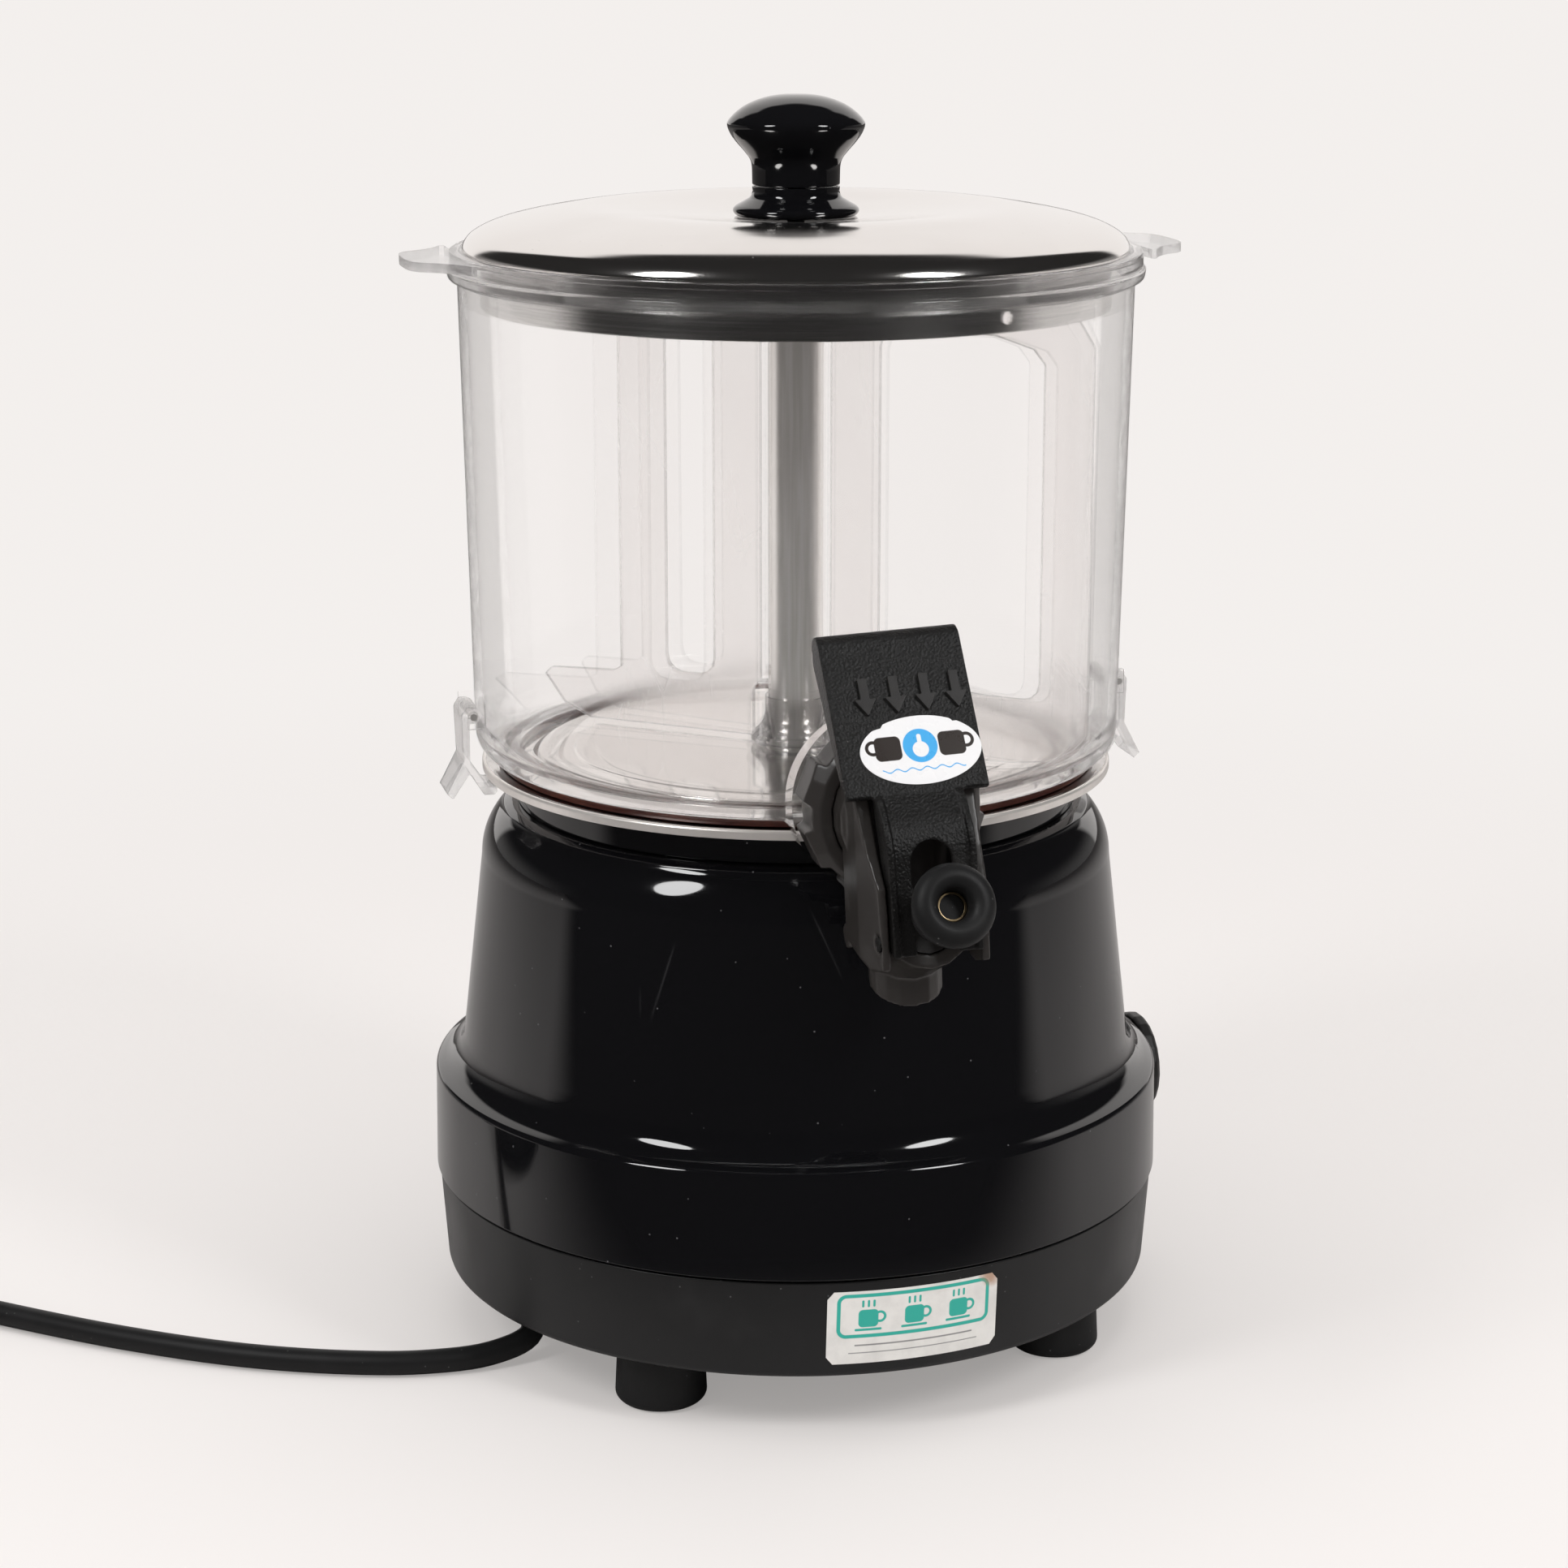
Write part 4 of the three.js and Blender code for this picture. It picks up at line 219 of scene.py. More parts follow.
# The world's own tree, for light by direction
class Room(Finish):
    def __init__(self, name):
        bpy.context.scene.world = bpy.data.worlds.new(name)
        bpy.context.scene.world.use_nodes = True
        self.tree = bpy.context.scene.world.node_tree
        self.tree.nodes.clear()
        self.made = self.tree.nodes.new("ShaderNodeOutputWorld")

    def axis(self, name):
        direction = self.node("ShaderNodeTexCoord", output="Generated")
        return self.node("ShaderNodeSeparateXYZ", {}, {0: direction}, output=name)

    def glow(self, color, strength):
        return self.node("ShaderNodeBackground", {}, {"Color": color, "Strength": strength})


# The finishes of the machine
glossBlack = Finish("glossBlackMoulding", specular=0.5, coat=0.35, coatRoughness=0.03)
smudge = glossBlack.noise(14, 4, 0.6)
dustSpecks = glossBlack.specks(260, 0.11, 0.10)
hairlines = glossBlack.scratches(26, 0.010, 0.42, (1.0, 1.0, 0.35))
glossBlack.color(dustSpecks * 0.5 + hairlines * 0.10, (0.0042, 0.0042, 0.0050), (0.20, 0.20, 0.21))
glossBlack.rough(0.055 + smudge.ramp(0.45, 0.75) * 0.05 + dustSpecks * 0.4 + hairlines * 0.12)
glossBlack.bump(glossBlack.noise(30, 2) + hairlines * -0.2 + dustSpecks * 0.3, 0.12, 0.0005)

satinBlack = Finish("satinBlackMoulding", specular=0.45)
panGrain = satinBlack.noise(2600, 2)
panDust = satinBlack.specks(330, 0.13, 0.14)
satinBlack.color(panDust * 0.45 + satinBlack.noise(30, 3).ramp(0.5, 0.8) * 0.04, (0.0085, 0.0085, 0.0090),
    (0.17, 0.17, 0.17))
satinBlack.rough(0.30 + satinBlack.noise(22, 4).ramp(0.4, 0.7) * 0.09 + panDust * 0.3)
satinBlack.bump(panGrain + panDust * 0.8, 0.10, 0.0002)

mattBlack = Finish("mattBlackTap", specular=0.42)
tapGrain = mattBlack.noise(3200, 3, 0.6)
tapWear = mattBlack.noise(60, 4, 0.6).ramp(0.52, 0.78)
tapDust = mattBlack.specks(420, 0.12, 0.10)
mattBlack.color(tapWear * 0.10 + tapDust * 0.5, (0.0185, 0.0172, 0.0168), (0.13, 0.13, 0.125))
mattBlack.rough(0.36 + tapWear * 0.12 + tapGrain * 0.06)
mattBlack.bump(tapGrain, 0.28, 0.0002)

tapBlack = Finish("satinBlackTap", specular=0.5)
tapFine = tapBlack.noise(2600, 3, 0.6)
tapRub = tapBlack.noise(70, 4, 0.6).ramp(0.5, 0.8)
tapSpecks = tapBlack.specks(380, 0.12, 0.10)
tapBlack.color(tapRub * 0.12 + tapSpecks * 0.5, (0.0300, 0.0270, 0.0255), (0.14, 0.135, 0.13))
tapBlack.rough(0.27 + tapRub * 0.12 + tapFine * 0.05)
tapBlack.bump(tapFine, 0.16, 0.0002)

grainBlack = Finish("grainedBlackLever", specular=0.42)
leatherCells = grainBlack.cells(1250, "SMOOTH_F1")
leatherFine = grainBlack.noise(2400, 3, 0.6)
leverDust = grainBlack.specks(500, 0.13, 0.12)
grainBlack.color(leverDust * 0.5 + grainBlack.noise(45, 3).ramp(0.55, 0.8) * 0.06, (0.0068, 0.0064, 0.0062),
    (0.17, 0.165, 0.16))
grainBlack.rough(0.34 + leatherFine * 0.12)
grainBlack.bump(leatherCells * 0.9 + leatherFine * 0.5, 0.75, 0.0004)

rubberBlack = Finish("blackRubber", specular=0.28)
rubberFine = rubberBlack.noise(1800, 3, 0.6)
rubberDust = rubberBlack.specks(380, 0.15, 0.12)
rubberBlack.color(rubberDust * 0.4 + rubberBlack.noise(40, 3).ramp(0.5, 0.8) * 0.05, (0.0100, 0.0100, 0.0104),
    (0.15, 0.15, 0.15))
rubberBlack.rough(0.42 + rubberFine * 0.14)
rubberBlack.bump(rubberFine, 0.2, 0.0002)

clearPlastic = Finish("clearMoulding", ior=1.10, transmission=1.0, specular=0.8, coat=0.24, coatRoughness=0.02,
    alpha=0.75)
wallHaze = clearPlastic.noise(9, 3).ramp(0.45, 0.8)
wallLines = clearPlastic.scratches(60, 0.006, 0.40, (1.0, 1.0, 0.4), (0.3, 0.2, 0.4))
clearPlastic.color(wallHaze, (1.0, 0.996, 0.995), (0.996, 0.988, 0.988))
clearPlastic.rough(0.01 + wallHaze * 0.02 + wallLines * 0.12)
clearPlastic.bump(clearPlastic.noise(11, 2), 0.04, 0.0006)

rimPlastic = Finish("clearRim", ior=1.40, transmission=1.0, specular=0.5, alpha=0.85)
rimCloud = rimPlastic.noise(60, 3, 0.6)
rimPlastic.color(rimCloud, (0.995, 0.99, 0.99), (0.97, 0.96, 0.962))
rimPlastic.rough(0.03 + rimCloud.ramp(0.4, 0.8) * 0.06)
rimPlastic.bump(rimCloud, 0.05, 0.0004)

frostedPlastic = Finish("frostedMoulding", ior=1.45, transmission=0.92, specular=0.45, alpha=0.62)
frostCloud = frostedPlastic.noise(40, 4, 0.6)
frostFine = frostedPlastic.noise(1500, 2)
frostedPlastic.color(frostCloud.ramp(0.3, 0.7), (0.90, 0.89, 0.895), (0.97, 0.955, 0.955))
frostedPlastic.rough(0.16 + frostCloud * 0.12)
frostedPlastic.bump(frostFine, 0.10, 0.0002)

milkyPlastic = Finish("milkyMixerSheet", ior=1.40, transmission=0.90, specular=0.4, alpha=0.72)
sheetHaze = milkyPlastic.noise(26, 4, 0.6)
sheetFlecks = milkyPlastic.specks(520, 0.16, 0.16)
sheetLines = milkyPlastic.scratches(60, 0.012, 0.5, (1.0, 1.0, 0.25), (0.1, 0.3, 0.2))
milkyPlastic.color(sheetHaze.ramp(0.35, 0.7), (0.970, 0.940, 0.932), (0.99, 0.968, 0.962))
milkyPlastic.rough(0.16 + sheetHaze * 0.12 + sheetLines * 0.1 + sheetFlecks * 0.1)
milkyPlastic.bump(sheetHaze * 0.4 + sheetFlecks * 0.3, 0.10, 0.0002)

polishedSteel = Finish("polishedSteel", metallic=1.0)
steelRings = polishedSteel.noise(9, 2, stretch=(1, 1, 90))
steelSpecks = polishedSteel.specks(300, 0.10, 0.10)
steelCloud = polishedSteel.noise(12, 4, 0.6).ramp(0.4, 0.8)
polishedSteel.color(steelCloud * 0.5 + steelSpecks * 0.5, (0.88, 0.855, 0.835), (0.80, 0.765, 0.74))
polishedSteel.rough(0.10 + steelCloud * 0.05 + steelSpecks * 0.3)
polishedSteel.bump(steelRings * 0.5 + polishedSteel.noise(50, 2), 0.05, 0.0003)

brushedSteel = Finish("brushedSteel", metallic=1.0, anisotropic=0.7, shineTurn=0.25)
brushLines = brushedSteel.noise(14, 4, 0.65, (1, 1, 160))
brushedSteel.color(brushLines.ramp(0.35, 0.7), (0.66, 0.65, 0.64), (0.80, 0.785, 0.77))
brushedSteel.rough(0.19 + brushLines * 0.09)
brushedSteel.bump(brushLines, 0.22, 0.0002)

tubeSteel = Finish("drawnSteelTube", metallic=0.68, anisotropic=0.35)
drawLines = tubeSteel.noise(700, 3, 0.6, (1, 1, 0.03))
tubeSteel.color(drawLines.ramp(0.35, 0.7), (0.80, 0.775, 0.75), (0.95, 0.93, 0.91))
tubeSteel.rough(0.14 + drawLines * 0.14)
tubeSteel.bump(drawLines, 0.10, 0.0001)

# The heated plate's rolled rim edge: a paler, part-metal copy of the plate steel, whose warm pale colour is painted
# reflection of the backdrop
rolledSteelPaintedReflection = Finish("rolledEdgePaintedReflection", metallic=0.65)
edgeCloud = rolledSteelPaintedReflection.noise(70, 4, 0.6)
rolledSteelPaintedReflection.color(edgeCloud.ramp(0.3, 0.7), (0.95, 0.905, 0.865), (0.86, 0.82, 0.785))
rolledSteelPaintedReflection.rough(0.24 + edgeCloud * 0.14)
rolledSteelPaintedReflection.bump(edgeCloud, 0.06, 0.0003)

dullSteel = Finish("zincPlatedSteel", metallic=1.0)
spangle = dullSteel.cells(240)
dullSteel.color(spangle.ramp(0.1, 0.7), (0.50, 0.51, 0.53), (0.66, 0.67, 0.68))
dullSteel.rough(0.34 + spangle * 0.14)
dullSteel.bump(spangle, 0.08, 0.0002)

brownRubber = Finish("brownSeal", specular=0.5)
sealCloud = brownRubber.noise(50, 3)
brownRubber.color(sealCloud.ramp(0.3, 0.75), (0.050, 0.012, 0.008), (0.095, 0.028, 0.017))
brownRubber.rough(0.26 + sealCloud * 0.14)
brownRubber.bump(brownRubber.noise(900, 2), 0.1, 0.0002)

brightBrass = Finish("brightBrass", metallic=1.0)
brassCloud = brightBrass.noise(300, 3)
brightBrass.color(brassCloud, (0.30, 0.22, 0.12), (0.52, 0.40, 0.24))
brightBrass.rough(0.24 + brassCloud * 0.15)

whiteNylon = Finish("whiteNylon", specular=0.4)
nylonCloud = whiteNylon.noise(300, 3)
whiteNylon.color(nylonCloud, (0.70, 0.69, 0.65), (0.80, 0.79, 0.76))
whiteNylon.rough(0.42 + nylonCloud * 0.12)
whiteNylon.bump(nylonCloud, 0.1, 0.0002)

paperLabel = Finish("labelPaper", specular=0.5, coat=0.2, coatRoughness=0.12)
paperLabel.plan()
marks = [paperLabel.boxShape((0, 4.2), (26.6, 7.4), 2.6).line(1.3)]
for aside in (-16.5, -0.5, 15.5):  # a steaming cup: its body, handle, saucer and three wisps
    marks.append(paperLabel.boxShape((aside, 3.2), (3.4, 3.2), 1.5).ink())
    marks.append(paperLabel.circleShape((aside + 4.0, 3.6), 1.7).line(0.9))
    marks.append(paperLabel.boxShape((aside, -0.9), (4.6, 0.45), 0.4).ink())
    marks += [paperLabel.boxShape((aside + wisp, 8.6), (0.4, 1.3), 0.4).ink() for wisp in (-1.9, 0, 1.9)]
teal = reduce(Signal.atLeast, marks)
rules = paperLabel.boxShape((0, -6.6), (21, 0.28), 0.2).ink()
rules = rules.atLeast(paperLabel.boxShape((0, -9.4), (23, 0.18), 0.1).ink())
paperCloud = paperLabel.noise(120, 4, 0.6)
stain = (paperLabel.circleShape((27.5, 12.5), 0) + paperCloud * 9).ramp(9.5, 4.5)
paper = paperLabel.blendColors(paperCloud.ramp(0.35, 0.75), (0.80, 0.79, 0.76), (0.70, 0.69, 0.665))
withTeal = paperLabel.blendColors(teal, paper, (0.022, 0.42, 0.34))
printed = paperLabel.blendColors(rules * 0.75, withTeal, (0.10, 0.10, 0.11))
paperLabel.color(stain * 0.75, printed, (0.36, 0.15, 0.045))
paperLabel.rough(0.30 + paperCloud * 0.15)

ovalLabel = Finish("ovalLabelVinyl", specular=0.5, coat=0.3, coatRoughness=0.08)
ovalLabel.plan()
disc = ovalLabel.circleShape((0.3, 1.4), 5.6).ink()
drop = ovalLabel.circleShape((0.3, 0.2), 2.6).ink().atLeast(ovalLabel.boxShape((0.3, 2.9), (0.7, 2.4), 0.7).ink())
darkCups = reduce(Signal.atLeast, [
    ovalLabel.boxShape((-10.2, 1.3), (4.3, 4.0), 1.8).ink(), ovalLabel.circleShape((-15.0, 1.9), 2.0).line(1.1),
    ovalLabel.boxShape((10.6, 1.3), (4.3, 4.0), 1.8).ink(), ovalLabel.circleShape((15.4, 1.9), 2.0).line(1.1)])
wave = (ovalLabel.v + 6.2 - (ovalLabel.u * 1.3).math("SINE") * 0.5).line(0.4)
wave = wave * ovalLabel.boxShape((0.3, -6.2), (13.5, 2), 0.5).ink()
vinylCloud = ovalLabel.noise(140, 3, 0.6)
vinyl = ovalLabel.blendColors(vinylCloud, (0.84, 0.84, 0.85), (0.78, 0.78, 0.79))
withDark = ovalLabel.blendColors(darkCups, vinyl, (0.020, 0.013, 0.010))
ovalLabel.color((disc - drop).atLeast(wave), withDark, (0.045, 0.38, 0.78))
ovalLabel.rough(0.22 + vinylCloud * 0.12)
ovalLabel.bump(vinylCloud, 0.1, 0.0002)
print("finishes made")


# Modelling helpers
def bevelled(mesh, geom, size, segments, affect):
    bmesh.ops.bevel(mesh, geom=geom, offset=size * mm, offset_type="OFFSET", segments=segments, profile=0.5,
        affect=affect, clamp_overlap=True, material=-1)


# Rounds each corner of an outline by its own size
def roundCorners(mesh, corners, cuts, segments):
    for size in sorted({c for c in cuts if c > 0}):
        bevelled(mesh, [v for v, c in zip(corners, cuts) if c == size], size, segments, "VERTICES")


# A profile of (radius, height, corner size) points, spun about Z
def turned(profile, steps=144, cut=0.4, segments=3):
    mesh = bmesh.new()
    corners = [mesh.verts.new((point[0] * mm, 0, point[1] * mm)) for point in profile]
    cuts = [(point[2] if len(point) > 2 else cut) if point[0] > 0 else 0 for point in profile]
    onAxis = profile[0][0] == 0 and profile[-1][0] == 0
    for first, second in zip(corners, corners[1:] + ([] if onAxis else corners[:1])):
        mesh.edges.new((first, second))
    roundCorners(mesh, corners, cuts, segments)
    bmesh.ops.spin(mesh, geom=mesh.verts[:] + mesh.edges[:], cent=(0, 0, 0), axis=(0, 0, 1), angle=2 * pi, steps=steps,
        use_merge=True)
    bmesh.ops.remove_doubles(mesh, verts=mesh.verts, dist=1e-7)
    bmesh.ops.recalc_face_normals(mesh, faces=mesh.faces)
    return mesh


def arcPoints(r, z, size, start, end, steps=8):
    turns = [radians(start + (end - start) * i / steps) for i in range(steps + 1)]
    return [(r + size * cos(turn), z + size * sin(turn), 0) for turn in turns]


# A flat outline in the XZ plane, its corners rounded, given a thickness along Y
def slab(outline, thickness, cut=1.0, segments=4, edge=0.3):
    mesh = bmesh.new()
    corners = [mesh.verts.new((p[0] * mm, -thickness / 2 * mm, p[1] * mm)) for p in outline]
    mesh.faces.new(corners)
    roundCorners(mesh, corners, [p[2] if len(p) > 2 else cut for p in outline], segments)
    grown = bmesh.ops.extrude_face_region(mesh, geom=mesh.faces[:])
    farSide = [v for v in grown["geom"] if isinstance(v, bmesh.types.BMVert)]
    bmesh.ops.translate(mesh, vec=(0, thickness * mm, 0), verts=farSide)
    bmesh.ops.recalc_face_normals(mesh, faces=mesh.faces)
    if edge > 0:
        rims = [e for e in mesh.edges if len(e.link_faces) == 2 and e.calc_face_angle() > radians(60)]
        bevelled(mesh, rims, edge, 2, "EDGES")
    return mesh


def rod(radius, start, end, sides=48):
    start, end = Vector(start) * mm, Vector(end) * mm
    mesh = bmesh.new()
    bmesh.ops.create_cone(mesh, cap_ends=True, segments=sides, radius1=radius * mm, radius2=radius * mm,
        depth=(end - start).length)
    turn = (end - start).to_track_quat("Z", "Y").to_matrix().to_4x4()
    return moved(mesh, Matrix.Translation((start + end) / 2) @ turn)


def box(size, middle, cut=0.0):
    mesh = bmesh.new()
    bmesh.ops.create_cube(mesh, size=1)
    moved(mesh, Matrix.Translation(Vector(middle) * mm) @ Matrix.Diagonal((*(Vector(size) * mm), 1)))
    if cut > 0:
        bevelled(mesh, mesh.edges[:], cut, 2, "EDGES")
    return mesh


# Keeps a flat piece's X and Z in millimetres as its UV, before it is put in its place
def withPlan(mesh):
    layer = mesh.loops.layers.uv.new("plan")
    for face in mesh.faces:
        for corner in face.loops:
            corner[layer].uv = (corner.vert.co.x / mm, corner.vert.co.z / mm)
    return mesh


def moved(mesh, matrix):
    bmesh.ops.transform(mesh, matrix=matrix, verts=mesh.verts)
    return mesh


def asObject(name, mesh):
    data = bpy.data.meshes.new(name)
    mesh.to_mesh(data)
    mesh.free()
    made = bpy.data.objects.new(name, data)
    bpy.context.scene.collection.objects.link(made)
    return made


def settle(obj):
    bpy.context.view_layer.update()
    finished = obj.evaluated_get(bpy.context.evaluated_depsgraph_get())
    result = bpy.data.meshes.new_from_object(finished)
    obj.modifiers.clear()
    obj.data = result
    result.name = obj.name
    return obj


def combined(obj, operation, *tools):
    for tool in tools:
        other = asObject("tool", tool)
        step = obj.modifiers.new("combine", "BOOLEAN")
        step.operation = operation
        step.solver = "EXACT"
        step.object = other
        settle(obj)
        bpy.data.objects.remove(other)
    return obj


def dress(obj, finish, body, replaces=(), sharpAngle=32, slotName=None):
    obj.data.materials.clear()
    obj.data.materials.append(finish.material)
    for face in obj.data.polygons:
        face.use_smooth = True
        face.material_index = 0
    obj.data.set_sharp_from_angle(angle=radians(sharpAngle))
    even = obj.modifiers.new("even", "WEIGHTED_NORMAL")  # broad walls stay straight beside round edges
    even.weight = 100
    even.keep_sharp = True
    settle(obj)
    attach(obj, body)
    if replaces:
        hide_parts(*replaces)
        parts = frame["record"]["subparts"]
        slotName = slotName or next(s["material_slot"] for s in parts if s["node"] == replaces[0])
    return obj


# Adds closed pieces to an object's mesh as they are, for a skin that melts them together
def gathered(obj, *pieces):
    mesh = bmesh.new()
    mesh.from_mesh(obj.data)
    for piece in pieces:
        spare = bpy.data.meshes.new("spare")
        piece.to_mesh(spare)
        piece.free()
        mesh.from_mesh(spare)
        bpy.data.meshes.remove(spare)
    mesh.to_mesh(obj.data)
    mesh.free()
    return obj


# Melts overlapping pieces into one skin with softened edges, like a moulding
def melt(obj, voxel, smoothing):
    skin = obj.modifiers.new("skin", "REMESH")
    skin.mode = "VOXEL"
    skin.voxel_size = voxel * mm
    skin.use_smooth_shade = True
    relax = obj.modifiers.new("relax", "SMOOTH")
    relax.factor = 0.5
    relax.iterations = smoothing
    return settle(obj)


# A copy of a CAD node's mesh, merged
def copied(node):
    mesh = bmesh.new()
    mesh.from_mesh(frame["nodes"][node].data)
    bmesh.ops.remove_doubles(mesh, verts=mesh.verts, dist=1e-6)
    return mesh


def bodyOf(node):
    return body_of(frame["nodes"][node])[0]


def moulded(name, node, finish, voxel=0.5, smoothing=6):
    return dress(melt(asObject(name, copied(node)), voxel, smoothing), finish, bodyOf(node), [node], 60)


# A copy of a CAD node with its flat faces joined and its sharp edges rounded
def eased(name, node, finish, cut=0.3, segments=2):
    mesh = copied(node)
    bmesh.ops.dissolve_limit(mesh, angle_limit=radians(1), verts=mesh.verts, edges=mesh.edges)
    obj = asObject(name, mesh)
    ease = obj.modifiers.new("ease", "BEVEL")
    ease.width = cut * mm
    ease.segments = segments
    ease.limit_method = "ANGLE"
    ease.angle_limit = radians(35)
    settle(obj)
    return dress(obj, finish, bodyOf(node), [node])


# A turned piece in its place, dressed
def lathed(name, profile, steps, finish, body, node, cut=0.4, sharpAngle=32, place=toAxis, segments=3):
    mesh = moved(turned(profile, steps, cut, segments), place)
    return dress(asObject(name, mesh), finish, body, [node], sharpAngle)


# The camera, at the photograph's viewing angle
cameraValues = {"place": (-384.8, -1119.9, 507.2), "forward": (0.3025, 0.9201, -0.2486), "lens": 80.86, "sensor": 36.0}
cameraData = bpy.data.cameras.new("camera")
cameraData.lens = cameraValues["lens"]
cameraData.sensor_width = cameraValues["sensor"]
cameraData.sensor_fit = "HORIZONTAL"
camera = bpy.data.objects.new("camera", cameraData)
camera.location = Vector(cameraValues["place"]) * mm
camera.rotation_euler = Vector(cameraValues["forward"]).to_track_quat("-Z", "Y").to_euler()
bpy.context.scene.collection.objects.link(camera)
bpy.context.scene.camera = camera


# The mains lead: one cord from its sleeve over the table and round its coil to the plug
lead = {"radius": 4.25, "exit": (-70, -6, 14), "heading": 207, "sleeve": 30, "gap": 0.3,
    "route": [(-108, -27.2, 8.6), (-123, -30.4, 5.1), (-146.6, -29.6, 4.7), (-171, -21.8, 4.6), (-205, -4.2, 4.6),
    (-243.6, 24.7, 4.6), (-282.2, 60.5, 4.6), (-305, 84, 4.6)], "coilEntry": (-321, 101), "coilHeading": 133,
    "turnRadius": 46.8, "turns": 2, "pitch": 9.1, "layerRise": 9, "straight": 8.5, "tableGap": 0.15, "tail": 34,
    "tailRise": 6.6}


def throughPoints(points, perStretch):
    ends = [points[0] * 2 - points[1], *points, points[-1] * 2 - points[-2]]
    line = []
    for a, b, c, d in zip(ends, ends[1:], ends[2:], ends[3:]):
        t1 = (b - a).length ** 0.5
        t2 = t1 + (c - b).length ** 0.5
        t3 = t2 + (d - c).length ** 0.5
        for i in range(perStretch):
            t = t1 + (t2 - t1) * i / perStretch
            ab = a * ((t1 - t) / t1) + b * (t / t1)
            bc = b * ((t2 - t) / (t2 - t1)) + c * ((t - t1) / (t2 - t1))
            cd = c * ((t3 - t) / (t3 - t2)) + d * ((t - t2) / (t3 - t2))
            abc = ab * ((t2 - t) / t2) + bc * (t / t2)
            bcd = bc * ((t3 - t) / (t3 - t1)) + cd * ((t - t1) / (t3 - t1))
            line.append(abc * ((t2 - t) / (t2 - t1)) + bcd * ((t - t1) / (t2 - t1)))
    return line + [points[-1]]


def easeIn(value, start, end):
    share = min(max((value - start) / (end - start), 0), 1)
    return share * share * (3 - 2 * share)


def leadLine(values):
    out = Vector((cos(radians(values["heading"])), sin(radians(values["heading"])), 0))
    sleeveEnd = Vector(values["exit"]) + out * (values["sleeve"] + values["gap"])
    entry = Vector((*values["coilEntry"], values["radius"] + values["tableGap"]))
    route = [Vector(p) for p in values["route"]]
    run = throughPoints([sleeveEnd, sleeveEnd + out * values["radius"] * 2, *route, entry], 6)
    way = radians(values["coilHeading"])
    along = Vector((cos(way), sin(way), 0))
    outer = values["turnRadius"] + values["pitch"] * values["turns"] / 2
    start = way - pi / 2
    centre = entry - Vector((cos(start), sin(start), 0)) * outer + along * values["straight"]
    perTurn = 36
    coil = []
    for i in range(values["turns"] * 2 * perTurn + 1):
        turn = i / perTurn
        radius = outer - values["pitch"] * min(turn, values["turns"] * 2 - turn)
        climb = easeIn(turn, values["turns"] - 0.25, values["turns"] + 0.25)
        angle = start + 2 * pi * turn
        coil.append(centre + Vector((radius * cos(angle), radius * sin(angle), values["layerRise"] * climb)))
    last = coil[-1]
    tail = []
    for i in range(1, 13):
        point = last + along * (values["straight"] + values["gap"] * 2 + values["tail"]) * i / 12
        tail.append(point + Vector((0, 0, values["tailRise"] * easeIn(i / 12, 0.3, 0.95))))
    return sleeveEnd, run + coil + tail


exitPoint, leadPoints = leadLine(lead)
leadPoints = [p * mm + axis for p in leadPoints]
curve = bpy.data.curves.new("mainsLead", "CURVE")
curve.dimensions = "3D"
curve.bevel_depth = lead["radius"] * mm
curve.bevel_resolution = 5
curve.use_fill_caps = True
spline = curve.splines.new("POLY")
spline.points.add(len(leadPoints) - 1)
for point, place in zip(spline.points, leadPoints):
    point.co = (*place, 1)
mainsLead = bpy.data.objects.new("mainsLead", curve)
bpy.context.scene.collection.objects.link(mainsLead)
curve.materials.append(rubberBlack.material)
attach(mainsLead, "stand")
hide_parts("lead_run", "lead_coil", "lead_tail")
leadLength = sum((b - a).length for a, b in zip(leadPoints, leadPoints[1:]))
print("lead laid,", round(leadLength, 3), "m")

plugBody = moulded("plugBody", "plug_body", rubberBlack, 0.6, 8)
plugPins = [eased("plugPin" + side.title(), "plug_pin_" + side, dullSteel, 0.4) for side in ("left", "right")]
leadTie = eased("leadTie", "lead_tie", rubberBlack, 0.25)
leadGland = moulded("leadGland", "lead_gland", rubberBlack, 0.5, 6)
tuple(exitPoint * mm + axis)
print("plug, pins, tie and gland dressed")


# The stand: feet, pan and housing
foot = {"height": 21.7, "radius": 15.9, "topRadius": 14.9, "edge": 2.2, "ring": 103.1, "recess": 5, "recessDepth": 5,
    "places": {"front_left": -45, "front_right": 45, "rear_right": 135, "rear_left": -135}}
footProfile = [(0, foot["recessDepth"]), (foot["recess"], foot["recessDepth"]), (foot["recess"], 0),
    (foot["radius"] - foot["edge"], 0, 1.2), (foot["radius"], foot["edge"], 1.2),
    (foot["topRadius"], foot["height"], 0.3), (0, foot["height"])]
for name, angle in foot["places"].items():
    aside, ahead = foot["ring"] * sin(radians(angle)) * mm, -foot["ring"] * cos(radians(angle)) * mm
    place = toAxis @ Matrix.Translation((aside, ahead, 0))
    lathed("foot" + name.title().replace("_", ""), footProfile, 64, rubberBlack, "stand", "foot_" + name, place=place)

pan = {"bottom": 22.0, "top": 57.0, "bottomRadius": 127, "topRadius": 129.5, "wall": 3, "floor": 3, "screwRing": 112,
    "screwBoss": 6, "screwAngles": (22.5, 112.5, -157.5, -67.5), "screwHole": 4.5, "screwDepth": 7, "shank": 2.4,
    "vents": 6, "ventRing": 60, "ventMiddle": 45, "ventStep": 18, "ventSize": (26, 6), "glandHole": 8.3}
floorTop = pan["bottom"] + pan["floor"]
panProfile = [(0, pan["bottom"]), (pan["bottomRadius"], pan["bottom"], 2.2), (pan["topRadius"], pan["top"], 0.5),
    (pan["topRadius"] - pan["wall"], pan["top"]), (pan["bottomRadius"] - pan["wall"], floorTop), (0, floorTop)]
basePan = asObject("basePan", turned(panProfile, 180))
panTools = []
